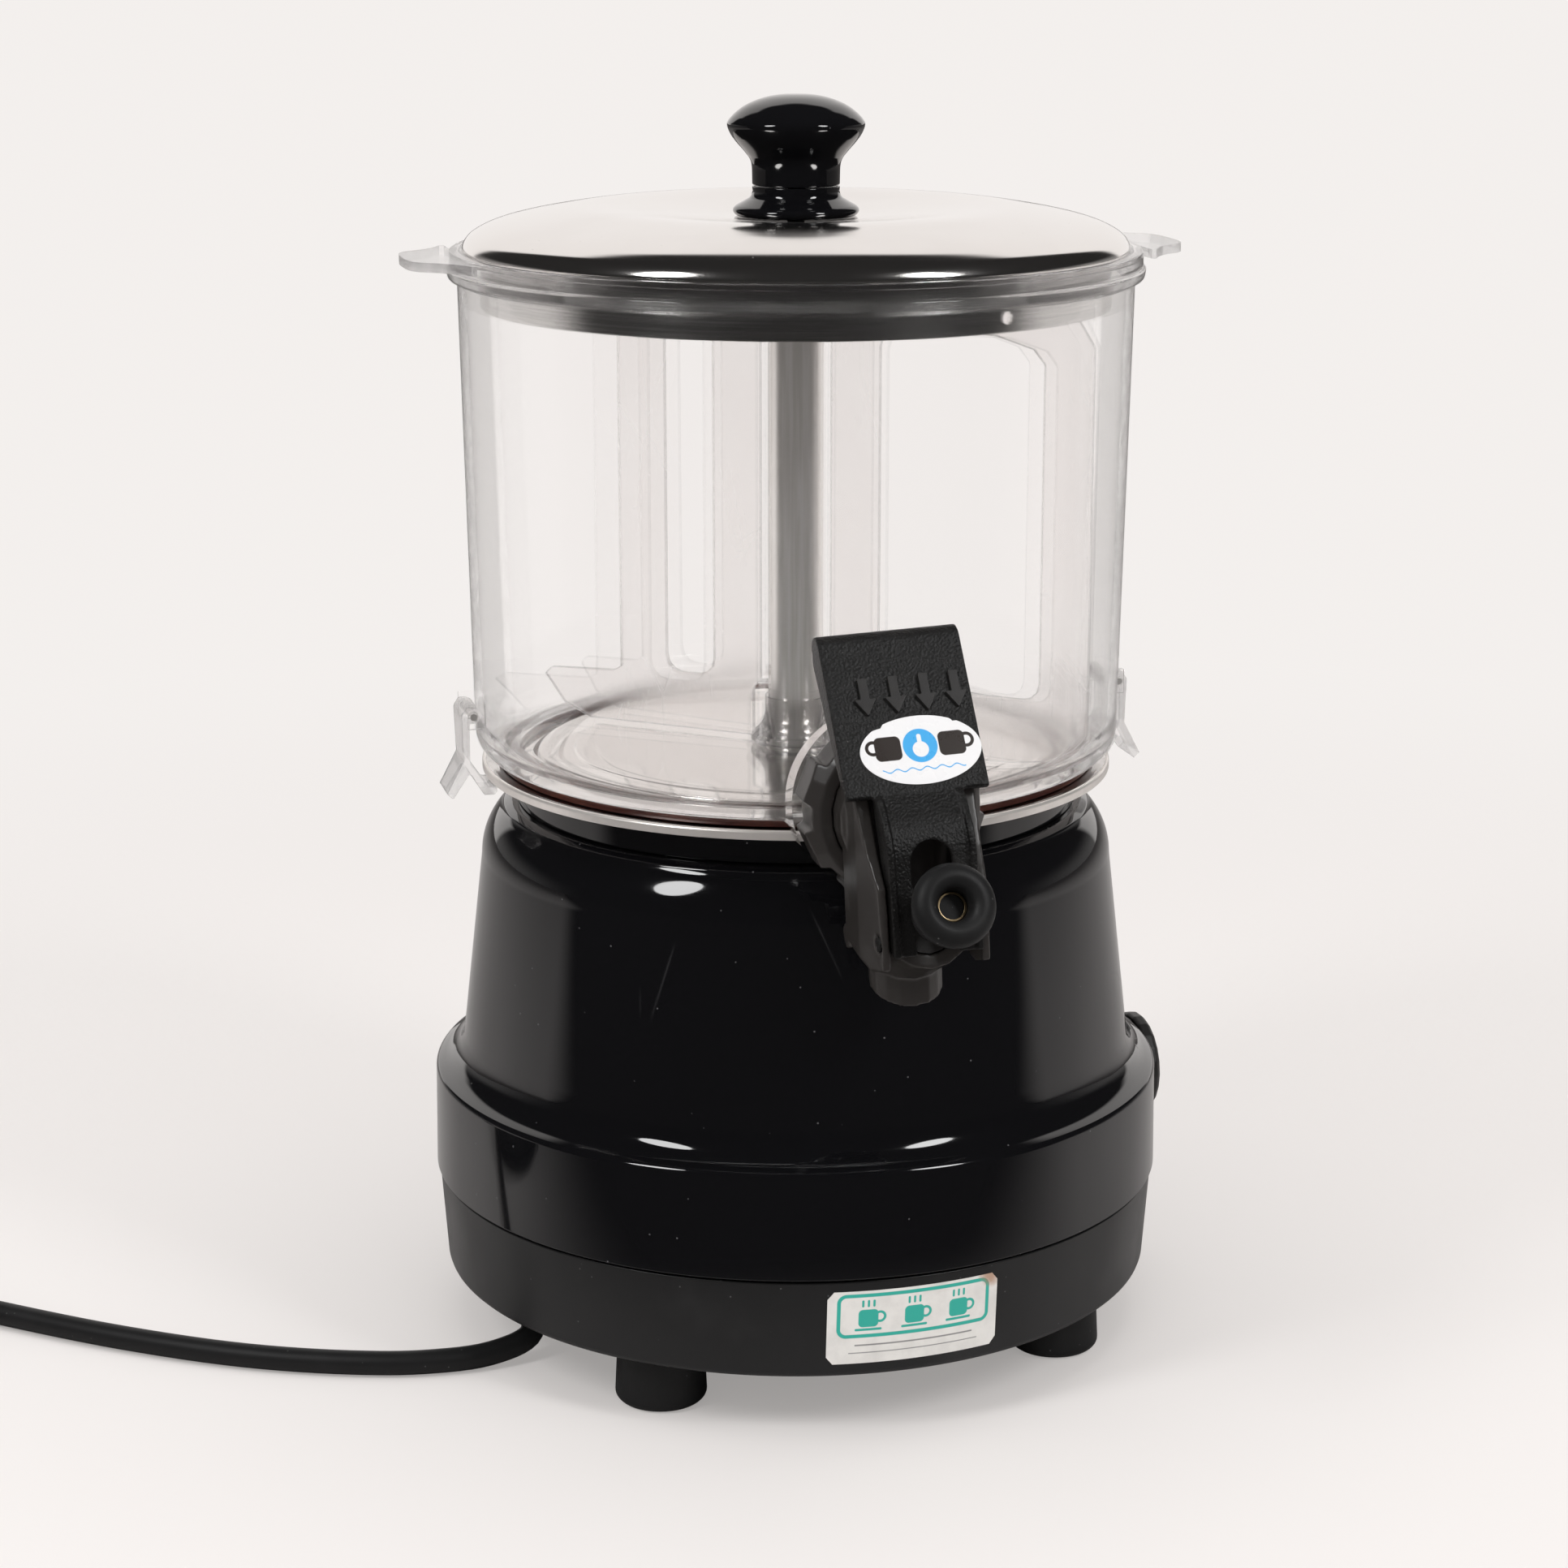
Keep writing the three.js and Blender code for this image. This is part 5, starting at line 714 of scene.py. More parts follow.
for angle in pan["screwAngles"]:
    x, y = pan["screwRing"] * sin(radians(angle)), -pan["screwRing"] * cos(radians(angle))
    combined(basePan, "UNION", rod(pan["screwBoss"], (x, y, pan["bottom"] + 1), (x, y, pan["top"])))
    headTop = pan["bottom"] + pan["screwDepth"]
    panTools += [rod(pan["shank"], (x, y, 0), (x, y, 90)), rod(pan["screwHole"], (x, y, 0), (x, y, headTop))]
for i in range(pan["vents"]):
    turn = radians(pan["ventMiddle"] + pan["ventStep"] * (i - (pan["vents"] - 1) / 2))
    vent = box((*pan["ventSize"], 12), (pan["ventRing"], 0, pan["bottom"]))
    panTools.append(moved(vent, Matrix.Rotation(turn, 4, "Z")))
x, y, z = lead["exit"]
panTools.append(rod(pan["glandHole"], (x, y, 0), (x, y, 40)))
combined(basePan, "DIFFERENCE", *panTools)
basePan.data.transform(toAxis)
dress(basePan, satinBlack, "stand", ["base_pan"])

# The pan's label follows its curved side
panLabel = {"turn": -0.1, "middle": 40.25, "halfWidth": 30.5, "halfHeight": 13.25, "sheet": 0.16, "corner": 2.2,
    "across": 48, "up": 10}
labelMesh = bmesh.new()
planLayer = labelMesh.loops.layers.uv.new("plan")
rows = []
for i in range(panLabel["up"] + 1):
    upward = panLabel["halfHeight"] * (2 * i / panLabel["up"] - 1)
    cornerDepth = max(abs(upward) - (panLabel["halfHeight"] - panLabel["corner"]), 0)
    reach = panLabel["halfWidth"] - panLabel["corner"] + (max(panLabel["corner"] ** 2 - cornerDepth ** 2, 0)) ** 0.5
    height = panLabel["middle"] + upward
    share = (height - pan["bottom"]) / (pan["top"] - pan["bottom"])
    radius = pan["bottomRadius"] + (pan["topRadius"] - pan["bottomRadius"]) * share + panLabel["sheet"]
    row = []
    for j in range(panLabel["across"] + 1):
        aside = reach * (2 * j / panLabel["across"] - 1)
        turn = radians(panLabel["turn"]) + aside / radius
        spot = labelMesh.verts.new((radius * sin(turn) * mm, -radius * cos(turn) * mm, height * mm))
        row.append((spot, (aside, upward)))
    rows.append(row)
for below, above in zip(rows, rows[1:]):
    for (a, planA), (b, planB), (c, planC), (d, planD) in zip(below, below[1:], above[1:], above):
        for corner, spot in zip(labelMesh.faces.new((a, b, c, d)).loops, (planA, planB, planC, planD)):
            corner[planLayer].uv = spot
labelPiece = asObject("panLabel", moved(labelMesh, toAxis))
thick = labelPiece.modifiers.new("thick", "SOLIDIFY")
thick.thickness = panLabel["sheet"] * mm * 0.9
thick.offset = -1
settle(labelPiece)
dress(labelPiece, paperLabel, "stand", slotName="white_plastic")

housing = {"wall": 3, "roundSize": 24.5, "roundCentre": (87.5, 172), "roundEnd": 46, "opening": 88, "top": 192.5,
    "band": [(130.5, 58, 0.5), (130, 95, 1.3), (125.5, 96.9, 1.5), (122, 99.8, 1.6), (120.1, 103.8, 2),
    (119.4, 108, 2.5)], "step": [(104.0, 191.0, 0.5), (101.4, 192.5, 0.6)],
    "bandInside": [(116.4, 106), (127, 92), (127.5, 58)], "spindleHole": 6.5, "spindleHeight": 76,
    "spindleReach": (110, 140)}
roundInside = arcPoints(*housing["roundCentre"], housing["roundSize"] - housing["wall"], 58, 0, 8)
roundOutside = arcPoints(*housing["roundCentre"], housing["roundSize"], 0, housing["roundEnd"], 16)
housingProfile = [*housing["band"], *roundOutside, *housing["step"], (housing["opening"], housing["top"], 0.6),
    (housing["opening"], housing["top"] - housing["wall"], 0.4), *roundInside, *housing["bandInside"]]
upperHousing = asObject("upperHousing", turned(housingProfile, 216))
spindleHole = rod(housing["spindleHole"], *[(reach, 0, housing["spindleHeight"]) for reach in housing["spindleReach"]])
combined(upperHousing, "DIFFERENCE", spindleHole)
upperHousing.data.transform(toAxis)
dress(upperHousing, glossBlack, "stand", ["upper_housing"], 24)

eased("dialBezel", "dial_bezel", satinBlack, 0.2)
moulded("thermostatDial", "thermostat_dial", mattBlack, 0.35, 5)
print("stand modelled")


# The heated plate, its gasket and the column
plate = {"rim": 111.2, "lipFoot": 203.9, "rimUnder": 204.7, "rimTop": 206.6, "foot": 192.8, "skirt": 99, "sheet": 2,
    "disc": 91, "discTop": 209.2, "centre": 78, "centreTop": 209.9, "hole": 10.1}
rim, rimTop, rimUnder, lipFoot, skirt = (plate[key] for key in ("rim", "rimTop", "rimUnder", "lipFoot", "skirt"))
plateProfile = [(plate["hole"], plate["centreTop"], 0.3), (plate["centre"], plate["centreTop"], 0.3),
    (plate["centre"] + 0.7, plate["discTop"], 0.3), (plate["disc"], plate["discTop"], 0.8),
    (plate["disc"] + 2.5, rimTop, 0.8), (rim - 3.8, rimTop, 0.8), (rim - 0.9, rimTop + 0.7, 0.5),
    (rim, rimTop + 0.1, 0.5), (rim, lipFoot, 0.5), (rim - 1.3, lipFoot, 0.4), (rim - 2.2, rimUnder, 0.3),
    (skirt, rimUnder), (skirt, plate["foot"]), (skirt - plate["sheet"], plate["foot"]),
    (skirt - plate["sheet"], rimUnder), (plate["hole"], rimUnder)]
heatingPlate = lathed("heatingPlate", plateProfile, 180, polishedSteel, "stand", "heating_plate", 0.3, 24)
# The plate's steel skirt under the rim takes the gloss black moulding finish: painted shade for the dark gap under the
# rim
heatingPlate.data.materials.append(glossBlack.material)
# The outer rolled edge takes the paler, part-metal edge steel: painted reflection that keeps the edge bright
heatingPlate.data.materials.append(rolledSteelPaintedReflection.material)
for face in heatingPlate.data.polygons:
    reach = hypot(*(face.center - axis).xy) / mm
    if face.center.z < (rimUnder - 0.2) * mm and reach < skirt + 0.5:
        face.material_index = 1
    elif reach > rim - 1.2:
        face.material_index = 2

gasket = {"inner": 97.6, "outer": 105.6, "foot": 206.9, "top": 209.0}
gasketProfile = [(gasket["inner"], gasket["foot"], 0.5), (gasket["outer"], gasket["foot"], 0.5),
    (gasket["outer"], gasket["top"], 0.9), (gasket["inner"], gasket["top"], 0.9)]
lathed("plateGasket", gasketProfile, 144, brownRubber, "stand", "plate_gasket")

column = {"foot": 202.5, "flangeTop": 204.3, "top": 358.5, "radius": 9.7, "bore": 7.2, "flange": 18}
columnProfile = [(column["bore"], column["foot"]), (column["flange"], column["foot"]),
    (column["flange"], column["flangeTop"]), (column["radius"], column["flangeTop"], 0.8),
    (column["radius"], column["top"], 0.5), (column["bore"], column["top"], 0.3)]
lathed("columnTube", columnProfile, 96, tubeSteel, "stand", "column_tube", 0.2)
print("plate, gasket and column modelled")


# The clear bowl
bowl = {"foot": 209.3, "wall": 3, "opening": 98.5, "lowRadius": 113.3, "topRadius": 116.3, "corner": 9,
    "innerCorner": 12, "wallTop": 375.3, "flare": 375.0, "lip": 120, "lipTop": 379.4, "collar": 118.9,
    "collarTop": 385.3, "seat": 115.5, "seatHeight": 383.0, "turn": -4.2, "tapHeight": 218.9, "boss": 31,
    "bossFace": 117.6, "thread": 23.5, "threadEnd": 126, "bore": 7, "boreReach": (90, 140), "underside": 111.4,
    "tabTop": 385.0, "tabSheet": 3.2, "earReach": (111.8, 119), "earSpacing": 10.6, "earSheet": 2, "earHeight": 9,
    "earMiddle": 228.3, "pinReach": 117, "pinHole": 1.6,
    "tab": [(116.4, -36, 0), (118.2, -36, 0.4), (120.5, -30.5, 3), (126, -23.0, 5), (134.2, -18.0, 4.5), (136, -9, 7)]}
collar, collarTop, seat, seatHeight = (bowl[key] for key in ("collar", "collarTop", "seat", "seatHeight"))
innerRadius, innerTop = bowl["lowRadius"] - bowl["wall"], bowl["topRadius"] - bowl["wall"]
wallFoot = bowl["foot"] + bowl["wall"]
outside = arcPoints(bowl["lowRadius"] - bowl["corner"], bowl["foot"] + bowl["corner"], bowl["corner"], -90, 0, 10)
inside = arcPoints(innerRadius - bowl["innerCorner"], wallFoot + bowl["innerCorner"], bowl["innerCorner"], 0, -90, 10)
bowlProfile = [(bowl["opening"], bowl["foot"], 0.4), *outside, (bowl["topRadius"], bowl["flare"], 0.8),
    (bowl["lip"] - 0.6, bowl["flare"] + 0.9, 0.9), (bowl["lip"], bowl["lipTop"], 0.7),
    (collar, bowl["lipTop"] + 0.4, 0.4), (collar, collarTop, 0.8), (seat, collarTop, 0.6), (seat, seatHeight, 0.4),
    (innerTop, seatHeight, 0.5), (innerTop, bowl["wallTop"], 0), *inside, (bowl["opening"], wallFoot, 0.4)]
clearBowl = asObject("clearBowl", turned(bowlProfile, 180))
tabOutline = bowl["tab"] + [(reach, -aside, cut) for reach, aside, cut in bowl["tab"][::-1]]
layFlat = Matrix.Translation((0, 0, (bowl["tabTop"] - bowl["tabSheet"] / 2) * mm)) @ Matrix.Rotation(pi / 2, 4, "X")
near, far = bowl["earReach"]
for side in (Matrix.Rotation(0, 4, "Z"), Matrix.Rotation(pi, 4, "Z")):
    combined(clearBowl, "UNION", moved(slab(tabOutline, bowl["tabSheet"], edge=0.7), side @ layFlat))
    for end in (-1, 1):
        earPlace = ((near + far) / 2, end * bowl["earSpacing"], bowl["earMiddle"])
        ear = box((far - near, bowl["earSheet"], bowl["earHeight"]), earPlace, 0.5)
        combined(clearBowl, "UNION", moved(ear, side))


# A round tool that runs out to the tap's side, between two distances from the middle
def towardsTap(radius, start, end, sides=96):
    return rod(radius, (0, -start, bowl["tapHeight"]), (0, -end, bowl["tapHeight"]), sides)


boss = asObject("bossTool", towardsTap(bowl["boss"], bowl["opening"], bowl["bossFace"]))
combined(boss, "UNION", towardsTap(bowl["thread"], bowl["opening"] + 1, bowl["threadEnd"]))
bite = 0.05  # the boss reaches this far into the wall
hollow = [(0, 170, 0), (bowl["opening"] + bite, 170, 0), (bowl["opening"] + bite, wallFoot - bite, 0),
    *[(r + bite, z - bite, 0) for r, z, cut in inside[::-1]], (innerTop, 380, 0), (0, 380, 0)]
combined(boss, "DIFFERENCE", turned(hollow, 180), rod(bowl["underside"], (0, 0, 150), (0, 0, bowl["foot"]), 180))
bossMesh = bmesh.new()
bossMesh.from_mesh(boss.data)
bpy.data.objects.remove(boss)
combined(clearBowl, "UNION", bossMesh)
pinHoles = []
for reach in (-bowl["pinReach"], bowl["pinReach"]):
    pinHoles.append(rod(bowl["pinHole"], (reach, -20, bowl["earMiddle"]), (reach, 20, bowl["earMiddle"]), 24))
combined(clearBowl, "DIFFERENCE", towardsTap(bowl["bore"], *bowl["boreReach"], 48), *pinHoles)
bowlPlace = toAxis @ Matrix.Rotation(radians(bowl["turn"]), 4, "Z")
clearBowl.data.transform(bowlPlace)
dress(clearBowl, clearPlastic, "stand", ["bowl"], 28)
clearBowl.data.materials.append(frostedPlastic.material)
clearBowl.data.materials.append(rimPlastic.material)
for face in clearBowl.data.polygons:
    if face.center.z > (bowl["flare"] + 0.1) * mm:
        face.material_index = 1 if hypot(*(face.center - axis).xy) > (bowl["lip"] + 0.4) * mm else 2
for side in ("left", "right"):
    moulded("latch" + side.title(), "latch_" + side, frostedPlastic, 0.35, 4)
    eased("latchPin" + side.title(), "latch_pin_" + side, tubeSteel, 0.2)
print("bowl and latches modelled")


# The mixer
eased("mixerPaddle", "mixer_paddle", milkyPlastic, 0.5, 3)
hub = {"bore": 10.2, "skirt": 15.9, "foot": 211.1, "top": 227.6, "radius": 10.9}
hubProfile = [(hub["bore"], hub["foot"]), (hub["skirt"], hub["foot"], 0.8), (hub["skirt"], hub["foot"] + 2.6, 1.0),
    (hub["radius"] + 1.6, hub["foot"] + 5.5, 2.0), (hub["radius"], hub["foot"] + 9, 2.0),
    (hub["radius"], hub["top"], 0.3), (hub["bore"], hub["top"], 0.2)]
lathed("mixerHub", hubProfile, 72, rimPlastic, "drive", "mixer_hub", 0.3)
eased("mixerCap", "mixer_cap", milkyPlastic, 0.4)
print("mixer modelled")


# The lid
lid = {"line": [(113.2, 383.9), (114.1, 384.5), (114.5, 385.9), (112.6, 389.3), (108.8, 391.9), (103.4, 394.1),
    (96.0, 396.0), (87.5, 397.6), (76.0, 399.2), (65.0, 399.25), (45.4, 397.65), (24.0, 395.85)], "stepsPerPoint": 6,
    "underFrom": 24, "sheet": 1.5, "boltHole": 3.2, "crown": 395.83, "skirtRadius": 108.5, "skirtSheet": 1.0,
    "skirtFoot": 366.12, "skirtTop": 390.2, "ventHeight": 371.0, "ventRadius": 2.2, "ventAngle": 20.3,
    "ventReach": (100, 118)}
domeLine = [(p.x, p.z) for p in throughPoints([Vector((r, 0, z)) for r, z in lid["line"]], lid["stepsPerPoint"])]
domeUnder = [(r - lid["sheet"] * 0.5, z - lid["sheet"], 0) for r, z in domeLine[lid["underFrom"]:]]
domeProfile = [*[(r, z, 0) for r, z in domeLine], (lid["boltHole"], lid["crown"], 0),
    (lid["boltHole"], lid["crown"] - lid["sheet"], 0), *domeUnder[::-1],
    (lid["line"][0][0] - 1.4, lid["line"][0][1], 0.2)]
lathed("lidDome", domeProfile, 216, polishedSteel, "lid", "lid_dome", 0, 40)
skirtInside = lid["skirtRadius"] - lid["skirtSheet"]
skirtProfile = [(skirtInside, lid["skirtFoot"], 0.3), (lid["skirtRadius"], lid["skirtFoot"], 0.45),
    (lid["skirtRadius"], lid["skirtTop"], 0.2), (skirtInside, lid["skirtTop"], 0.2)]
lidSkirt = asObject("lidSkirt", turned(skirtProfile, 216))
ventWay = (sin(radians(lid["ventAngle"])), -cos(radians(lid["ventAngle"])))
ventEnds = [(ventWay[0] * reach, ventWay[1] * reach, lid["ventHeight"]) for reach in lid["ventReach"]]
combined(lidSkirt, "DIFFERENCE", rod(lid["ventRadius"], *ventEnds))
lidSkirt.data.transform(toAxis)
dress(lidSkirt, brushedSteel, "lid", ["lid_skirt"])

knob = {"base": [(3.2, 396.13), (20.8, 396.13, 0.6), (22.0, 397.8, 0.9), (21.0, 399.2, 1.0), (18.4, 400.6, 1.5),
    (15.6, 402.2, 1.5), (15.0, 403.6, 0.8), (15.0, 406.0, 0.3), (3.2, 406.0)],
    "head": [(4, 406.35), (15.0, 406.35, 0.4), (15.1, 412.3, 1.0), (15.5, 414.8, 1.2), (17.4, 417.4, 1.8),
    (20.4, 420.6, 2.0), (22.6, 423.6, 1.4), (23.6, 426.2, 0.6), (23.5, 427.4, 0.35), (22.7, 428.7, 0.8),
    (20.9, 430.6, 1.6), (17.4, 433.2, 1.8), (12.0, 435.5, 2.5), (6.0, 436.7, 2.5), (0, 436.88), (0, 420), (4, 420)]}
lathed("lidKnobBase", knob["base"], 96, glossBlack, "lid", "lid_knob_base")
lathed("lidKnobHead", knob["head"], 96, glossBlack, "lid", "lid_knob_head")
eased("lidKnobScrew", "lid_knob_screw", dullSteel, 0.3)
print("lid modelled")


# The tap
moulded("tapNut", "tap_nut", tapBlack, 0.45, 6)
moulded("tapBody", "tap_body", tapBlack, 0.52, 7)
eased("pistonPlug", "piston_plug", mattBlack, 0.3)

tap = {"height": 218.92, "roll": -2.6}
tapMiddle = Matrix.Translation((0, 0, tap["height"] * mm))
tapPlace = bowlPlace @ tapMiddle @ Matrix.Rotation(radians(tap["roll"]), 4, "Y") @ tapMiddle.inverted()

# The lever's pieces are side outlines, by reach from the machine's middle and height
lever = {"width": 46.5, "channel": 28.8, "wall": 2.2, "pivot": (169.5, 187.024), "trunnion": 2.4, "trunnionEnd": 18,
    "arch": 6.8, "archTop": 219.0, "archFoot": 175, "lip": (126.2, 271.25), "lipSize": 5.2, "lipInside": 2.5,
    "faceTurn": 33.9, "face": [(159.2, 231.5, 0.8), (156.8, 230.0, 0.5)],
    "wing": [(159.2, 231.5, 0.6), (121.6, 267.0, 2.0), (151.2, 233.9, 2.0)],
    "sheet": [(157.2, 233.4, 0), (159.6, 231.0, 2), (170.5, 221.0, 6), (176.0, 183.63, 0.6), (173.1, 183.63, 0.6),
    (167.6, 220.2, 4), (155.6, 230.4, 0)],
    "rib": [(158.6, 231.6, 0), (160.6, 231.4, 1), (171.9, 221.4, 5), (177.1, 183.7, 0.8), (174.4, 183.7, 0.3),
    (174.6, 189.2, 0.5), (172.4, 183.4, 3), (166.4, 183.6, 3), (165.0, 190.0, 3), (163.8, 211.5, 3), (155.4, 230.8, 1)]}
lipOutside = arcPoints(*lever["lip"], lever["lipSize"], lever["faceTurn"], 190, 14)
lipInside = arcPoints(*lever["lip"], lever["lipInside"], 190, lever["faceTurn"], 8)
faceOutline = [lever["face"][0], *lipOutside, *lipInside, lever["face"][1]]
wingOutline = [lever["wing"][0], *arcPoints(*lever["lip"], lever["lipSize"], lever["faceTurn"], 130, 8),
    *lever["wing"][1:]]
archRound = arcPoints(0, lever["archTop"] - lever["arch"], lever["arch"], 0, 180, 16)
archOutline = [(-lever["arch"], lever["archFoot"], 0), (lever["arch"], lever["archFoot"], 0), *archRound]
archPlace = Matrix.Translation((lever["pivot"][0] * mm, 0, 0)) @ Matrix.Rotation(pi / 2, 4, "Z")
tapLever = asObject("tapLever", slab(lever["sheet"], lever["channel"], edge=0.2))
combined(tapLever, "DIFFERENCE", moved(slab(archOutline, 60, 0, edge=0), archPlace))
gathered(tapLever, slab(faceOutline, lever["width"], edge=0.2))
reach, height = lever["pivot"]
for side in (-1, 1):
    for outline, width in ((wingOutline, lever["width"]), (lever["rib"], lever["channel"])):
        place = Matrix.Translation((0, side * (width - lever["wall"]) / 2 * mm, 0))
        gathered(tapLever, moved(slab(outline, lever["wall"], edge=0.2), place))
    ends = [(reach, side * out, height) for out in (lever["channel"] / 2 - lever["wall"], lever["trunnionEnd"])]
    gathered(tapLever, rod(lever["trunnion"], *ends))
tapLever.data.transform(tapPlace @ Matrix.Rotation(-pi / 2, 4, "Z"))
dress(melt(tapLever, 0.45, 6), grainBlack, "lever", ["tap_lever"], 60)

button = {"place": (-8.566, -99.516, 177.343), "way": (-0.085496, -0.90247, 0.422183),
    "line": [(0, 46.9, 0), (9.2, 46.9, 0.5), (9.2, 49.2, 0.5), (5.2, 51.6, 1.0), (5.2, 59.7, 0.8), (9.9, 59.7, 1.2),
    (13.3, 62.0, 2.6), (13.3, 65.6, 3.2), (11.2, 69.1, 3.0), (7.2, 68.9, 1.6), (5.6, 67.2, 0.8), (4.9, 64.4, 0.4),
    (4.9, 60.9), (0, 60.9)], "ring": [(3.9, 61.4), (4.7, 61.4), (4.7, 62.6), (3.9, 62.6)]}
outwards = Vector(button["way"]).to_track_quat("Z", "Y").to_matrix().to_4x4()
buttonPlace = Matrix.Translation(Vector(button["place"]) * mm) @ outwards
lathed("pistonButton", button["line"], 96, rubberBlack, "piston", "piston_button", 0.3, 50, buttonPlace, 5)
lathed("buttonRing", button["ring"], 48, brightBrass, "piston", "button_ring", 0.15, place=buttonPlace)

# On the lever's face: an oval label with a worn upper edge, and raised arrows that point the way it is pulled
leverFace = {"middle": (-9.708, -115.369, 243.219), "across": (0.99629, -0.07315, 0.04535),
    "up": (0.00338, 0.55982, 0.82861), "out": (-0.086, -0.82538, 0.55799), "oval": (19.7, 11.4), "ovalAside": 0.3,
    "sheet": 0.7, "proud": 0.22, "notches": {17: 0.955, 18: 0.985, 42: 0.97, 43: 0.94, 44: 0.965, 45: 0.985},
    "arrows": (-14.6, -4.7, 5.2, 15.1), "arrowHeight": 18.9,
    "arrow": [(-1.5, 6.3), (1.5, 6.3), (1.5, -0.6), (3.6, -0.6), (0, -6.2), (-3.6, -0.6), (-1.5, -0.6)]}
faceAxes = Matrix((leverFace["across"], [-n for n in leverFace["out"]], leverFace["up"])).transposed().to_4x4()
facePlace = Matrix.Translation(Vector(leverFace["middle"]) * mm) @ faceAxes
ovalOutline = []
for i in range(120):
    turn, worn = 2 * pi * i / 120, leverFace["notches"].get(i, 1.0)
    aside, upward = leverFace["oval"][0] * cos(turn), leverFace["oval"][1] * sin(turn)
    ovalOutline.append((aside * worn + leverFace["ovalAside"], upward * worn, 0))
oval = withPlan(slab(ovalOutline, leverFace["sheet"], 0, edge=0))
sunk = Matrix.Translation((0, (leverFace["sheet"] / 2 - leverFace["proud"]) * mm, 0))
dress(asObject("leverLabel", moved(oval, facePlace @ sunk)), ovalLabel, "lever", slotName="white_plastic")
for i, aside in enumerate(leverFace["arrows"]):
    place = facePlace @ Matrix.Translation((aside * mm, -0.1 * mm, leverFace["arrowHeight"] * mm))
    arrow = asObject("leverArrow%d" % (i + 1), moved(slab(leverFace["arrow"], 2.0, 0.3, 2, 0.35), place))
    dress(arrow, mattBlack, "lever", slotName="black_matt")
print("tap modelled")


# What stays as the CAD made it gets its finish
plain = {
    dullSteel: ["dial_spindle", "thermostat_body", "motor_bracket", "motor_can", "motor_shaft", "heating_element",
        "case_screw_1", "case_screw_2", "case_screw_3", "case_screw_4"],
    tubeSteel: ["drive_shaft", "piston_spring"],
    rubberBlack: ["shaft_seal", "tap_washer", "piston_seal"],
    mattBlack: ["piston_guide", "gear_case", "gear_case_cover"],
    brightBrass: ["motor_pinion"],
    whiteNylon: ["drive_gear", "column_bush", "terminal_block"]}
for finish, nodes in plain.items():
    for node in nodes:
        shown = frame["nodes"][node]
        shown.data.materials.clear()
        shown.data.materials.append(finish.material)


# The studio: a pale floor that runs into a pale background, and soft lamps in a dark room
studio = {"floorSize": 30.0, "floorColor": (0.86, 0.825, 0.810), "background": (0.900, 0.868, 0.848), "lift": 0.34,
    "fade": (0.30, 1.15), "darkFrom": (0.13, 0.27), "darkAhead": (0.0, -0.2), "darkness": 0.030, "fill": 0.62,
    "fillColor": (1.0, 0.98, 0.965), "front": 0.020, "back": 1.0, "backWidth": 1.25, "backTop": (0.77, 0.71),
    "sides": 0.25, "sideTop": (0.24, 0.02), "sideFrom": (-0.2, 0.5), "turn": radians(18.2), "aim": (0, 0, 0.2)}
lamps = {"softLeft": {"place": (-1.34, -0.50, 1.42), "size": (0.46, 0.80), "power": 10.5, "shape": "ELLIPSE"},
    "softRight": {"place": (0.80, -1.25, 1.38), "size": (0.42, 0.80), "power": 10.5, "shape": "ELLIPSE"},
    "softTop": {"place": (0.1, 0.1, 1.9), "size": (1.2, 1.2), "power": 8.0, "shape": "RECTANGLE", "mirrored": False}}
floorMesh = bmesh.new()
bmesh.ops.create_grid(floorMesh, x_segments=1, y_segments=1, size=studio["floorSize"] / 2)
floor = asObject("floor", floorMesh)
floorFinish = Finish("paleFloor")
floorPlace = floorFinish.node("ShaderNodeTexCoord", output="Object")
away = floorFinish.node("ShaderNodeVectorMath", {"operation": "LENGTH"}, {0: floorPlace}, output="Value")
deep = floorFinish.node("ShaderNodeSeparateXYZ", {}, {0: floorFinish.place(turn=(0, 0, studio["turn"]))}, output="Y")
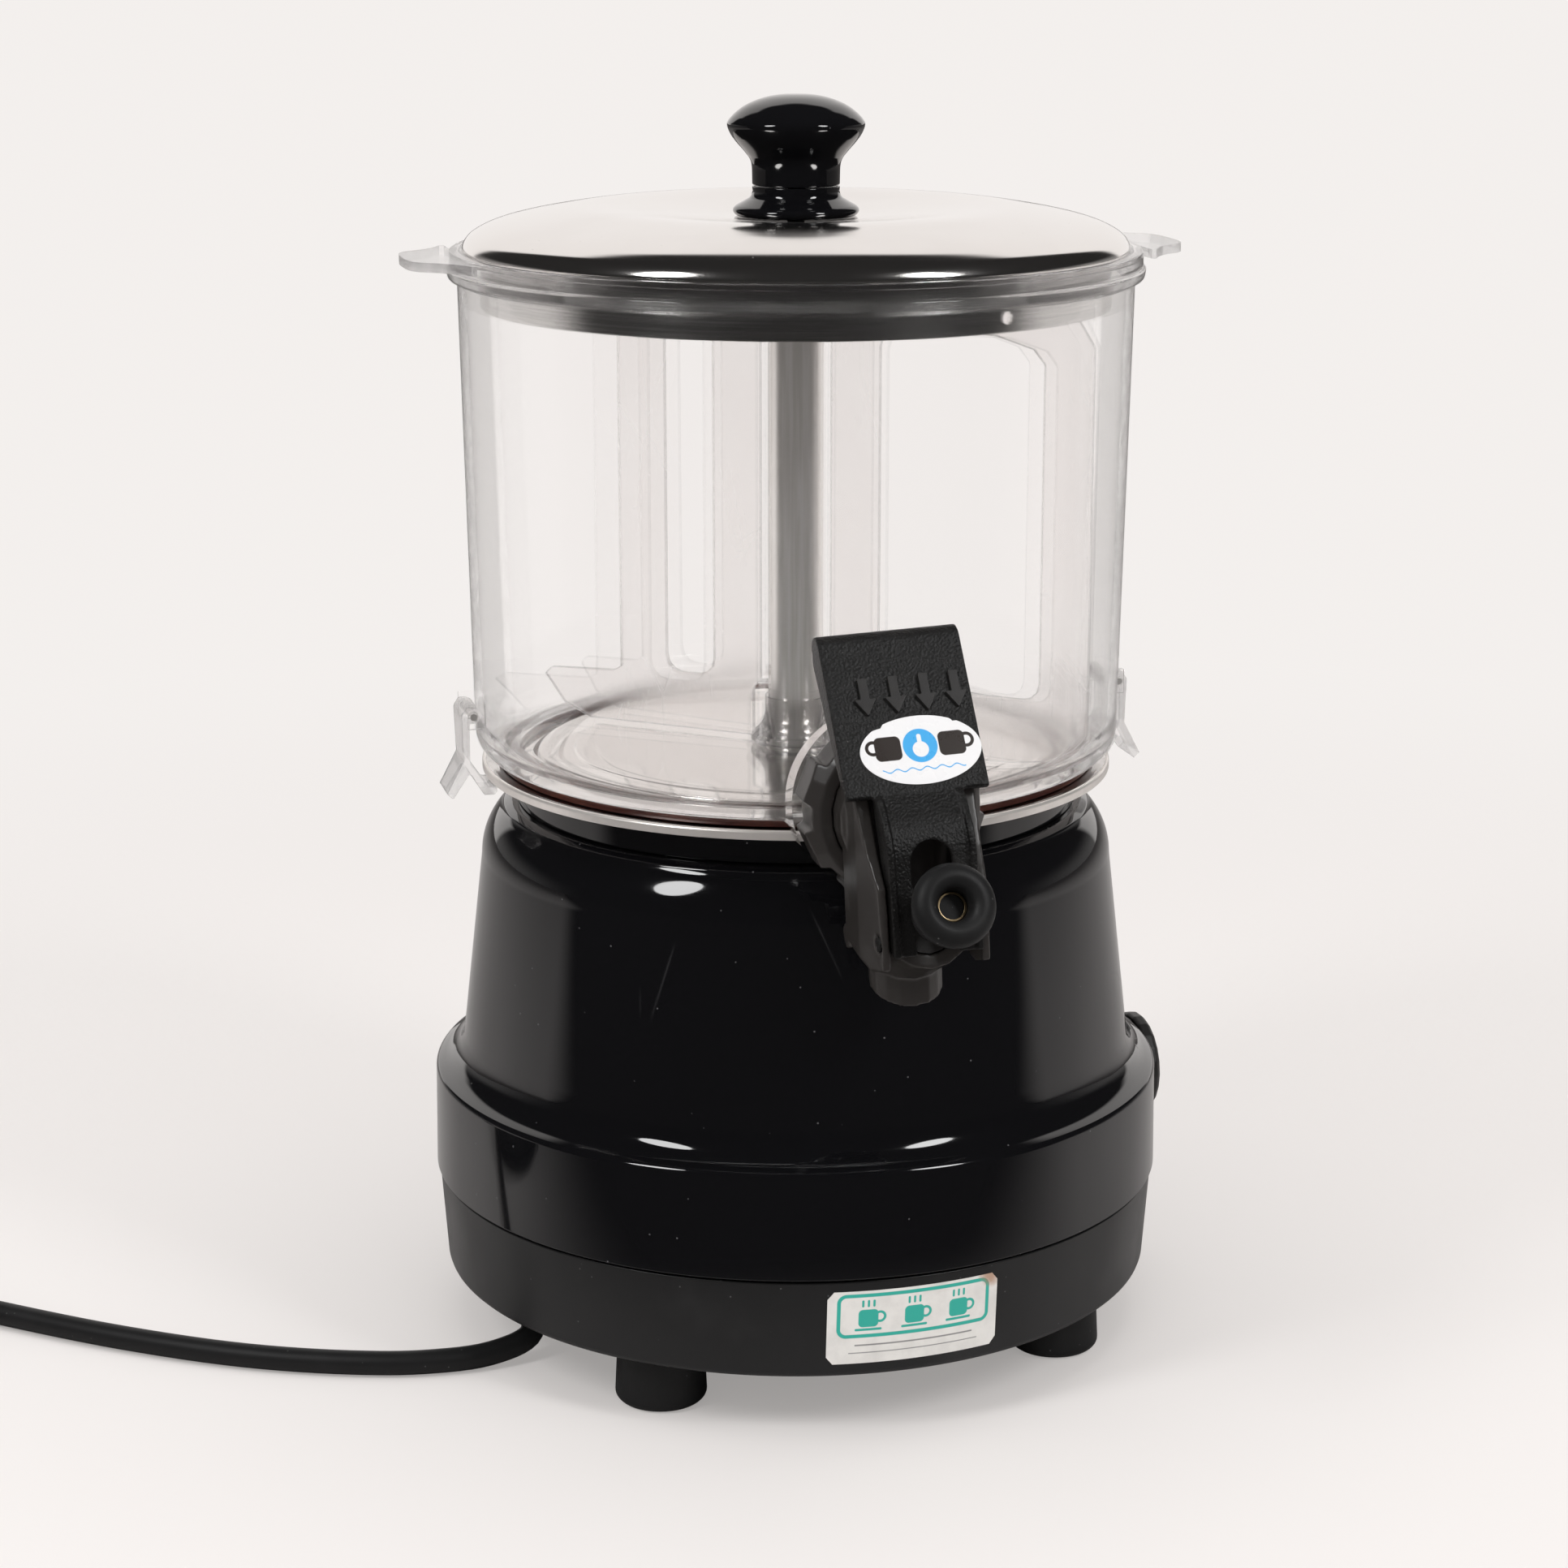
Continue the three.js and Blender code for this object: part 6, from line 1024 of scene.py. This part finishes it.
diffuse = floorFinish.node("ShaderNodeBsdfDiffuse", {}, {"Color": studio["floorColor"]})
backdrop = floorFinish.node("ShaderNodeEmission", {}, {"Color": studio["background"], "Strength": 1.0})
dark = floorFinish.node("ShaderNodeEmission", {}, {"Color": studio["background"], "Strength": studio["darkness"]})
lifted = studio["lift"] + (1 - studio["lift"]) * away.ramp(*studio["fade"])
paleFloor = floorFinish.mixed(floorFinish.directSight() * lifted, diffuse, backdrop)
darkZone = deep.ramp(*studio["darkAhead"]) * away.ramp(*studio["darkFrom"])
floorLook = floorFinish.mixed(floorFinish.mirrored() * darkZone, paleFloor, dark)
floorFinish.tree.links.new(floorLook.socket, floorFinish.made.inputs["Surface"])
floorFinish.tree.nodes.remove(floorFinish.principled)
floor.data.materials.append(floorFinish.material)

room = Room("studio")
across, along = room.axis("X"), room.axis("Y")
backward = across * sin(studio["turn"]) + along * cos(studio["turn"])
sideward = (across * cos(studio["turn"]) - along * sin(studio["turn"])).math("ABSOLUTE")
towardsBack = (backward - sideward * studio["backWidth"]).ramp(-0.05, 0.08) * room.axis("Z").ramp(*studio["backTop"])
towardsSide = backward.ramp(*studio["sideFrom"]) * room.axis("Z").ramp(*studio["sideTop"])
walls = (towardsBack * studio["back"]).atLeast(towardsSide * studio["sides"])
mirrored = room.glow(studio["background"], studio["front"] + walls)
fill = room.glow(studio["fillColor"], studio["fill"])
seen = room.glow(studio["background"], 1.0)
roomLook = room.mixed(room.mirrored(), room.mixed(room.directSight(), fill, seen), mirrored)
room.tree.links.new(roomLook.socket, room.made.inputs["Surface"])

for name, values in lamps.items():
    data = bpy.data.lights.new(name, "AREA")
    data.shape = values["shape"]
    data.size, data.size_y = values["size"]
    data.energy = values["power"]
    lamp = bpy.data.objects.new(name, data)
    lamp.location = values["place"]
    lamp.rotation_euler = (Vector(studio["aim"]) - Vector(values["place"])).to_track_quat("-Z", "Y").to_euler()
    lamp.visible_glossy = values.get("mirrored", True)
    bpy.context.scene.collection.objects.link(lamp)

bpy.context.scene.view_settings.view_transform = "Standard"
print("studio set")
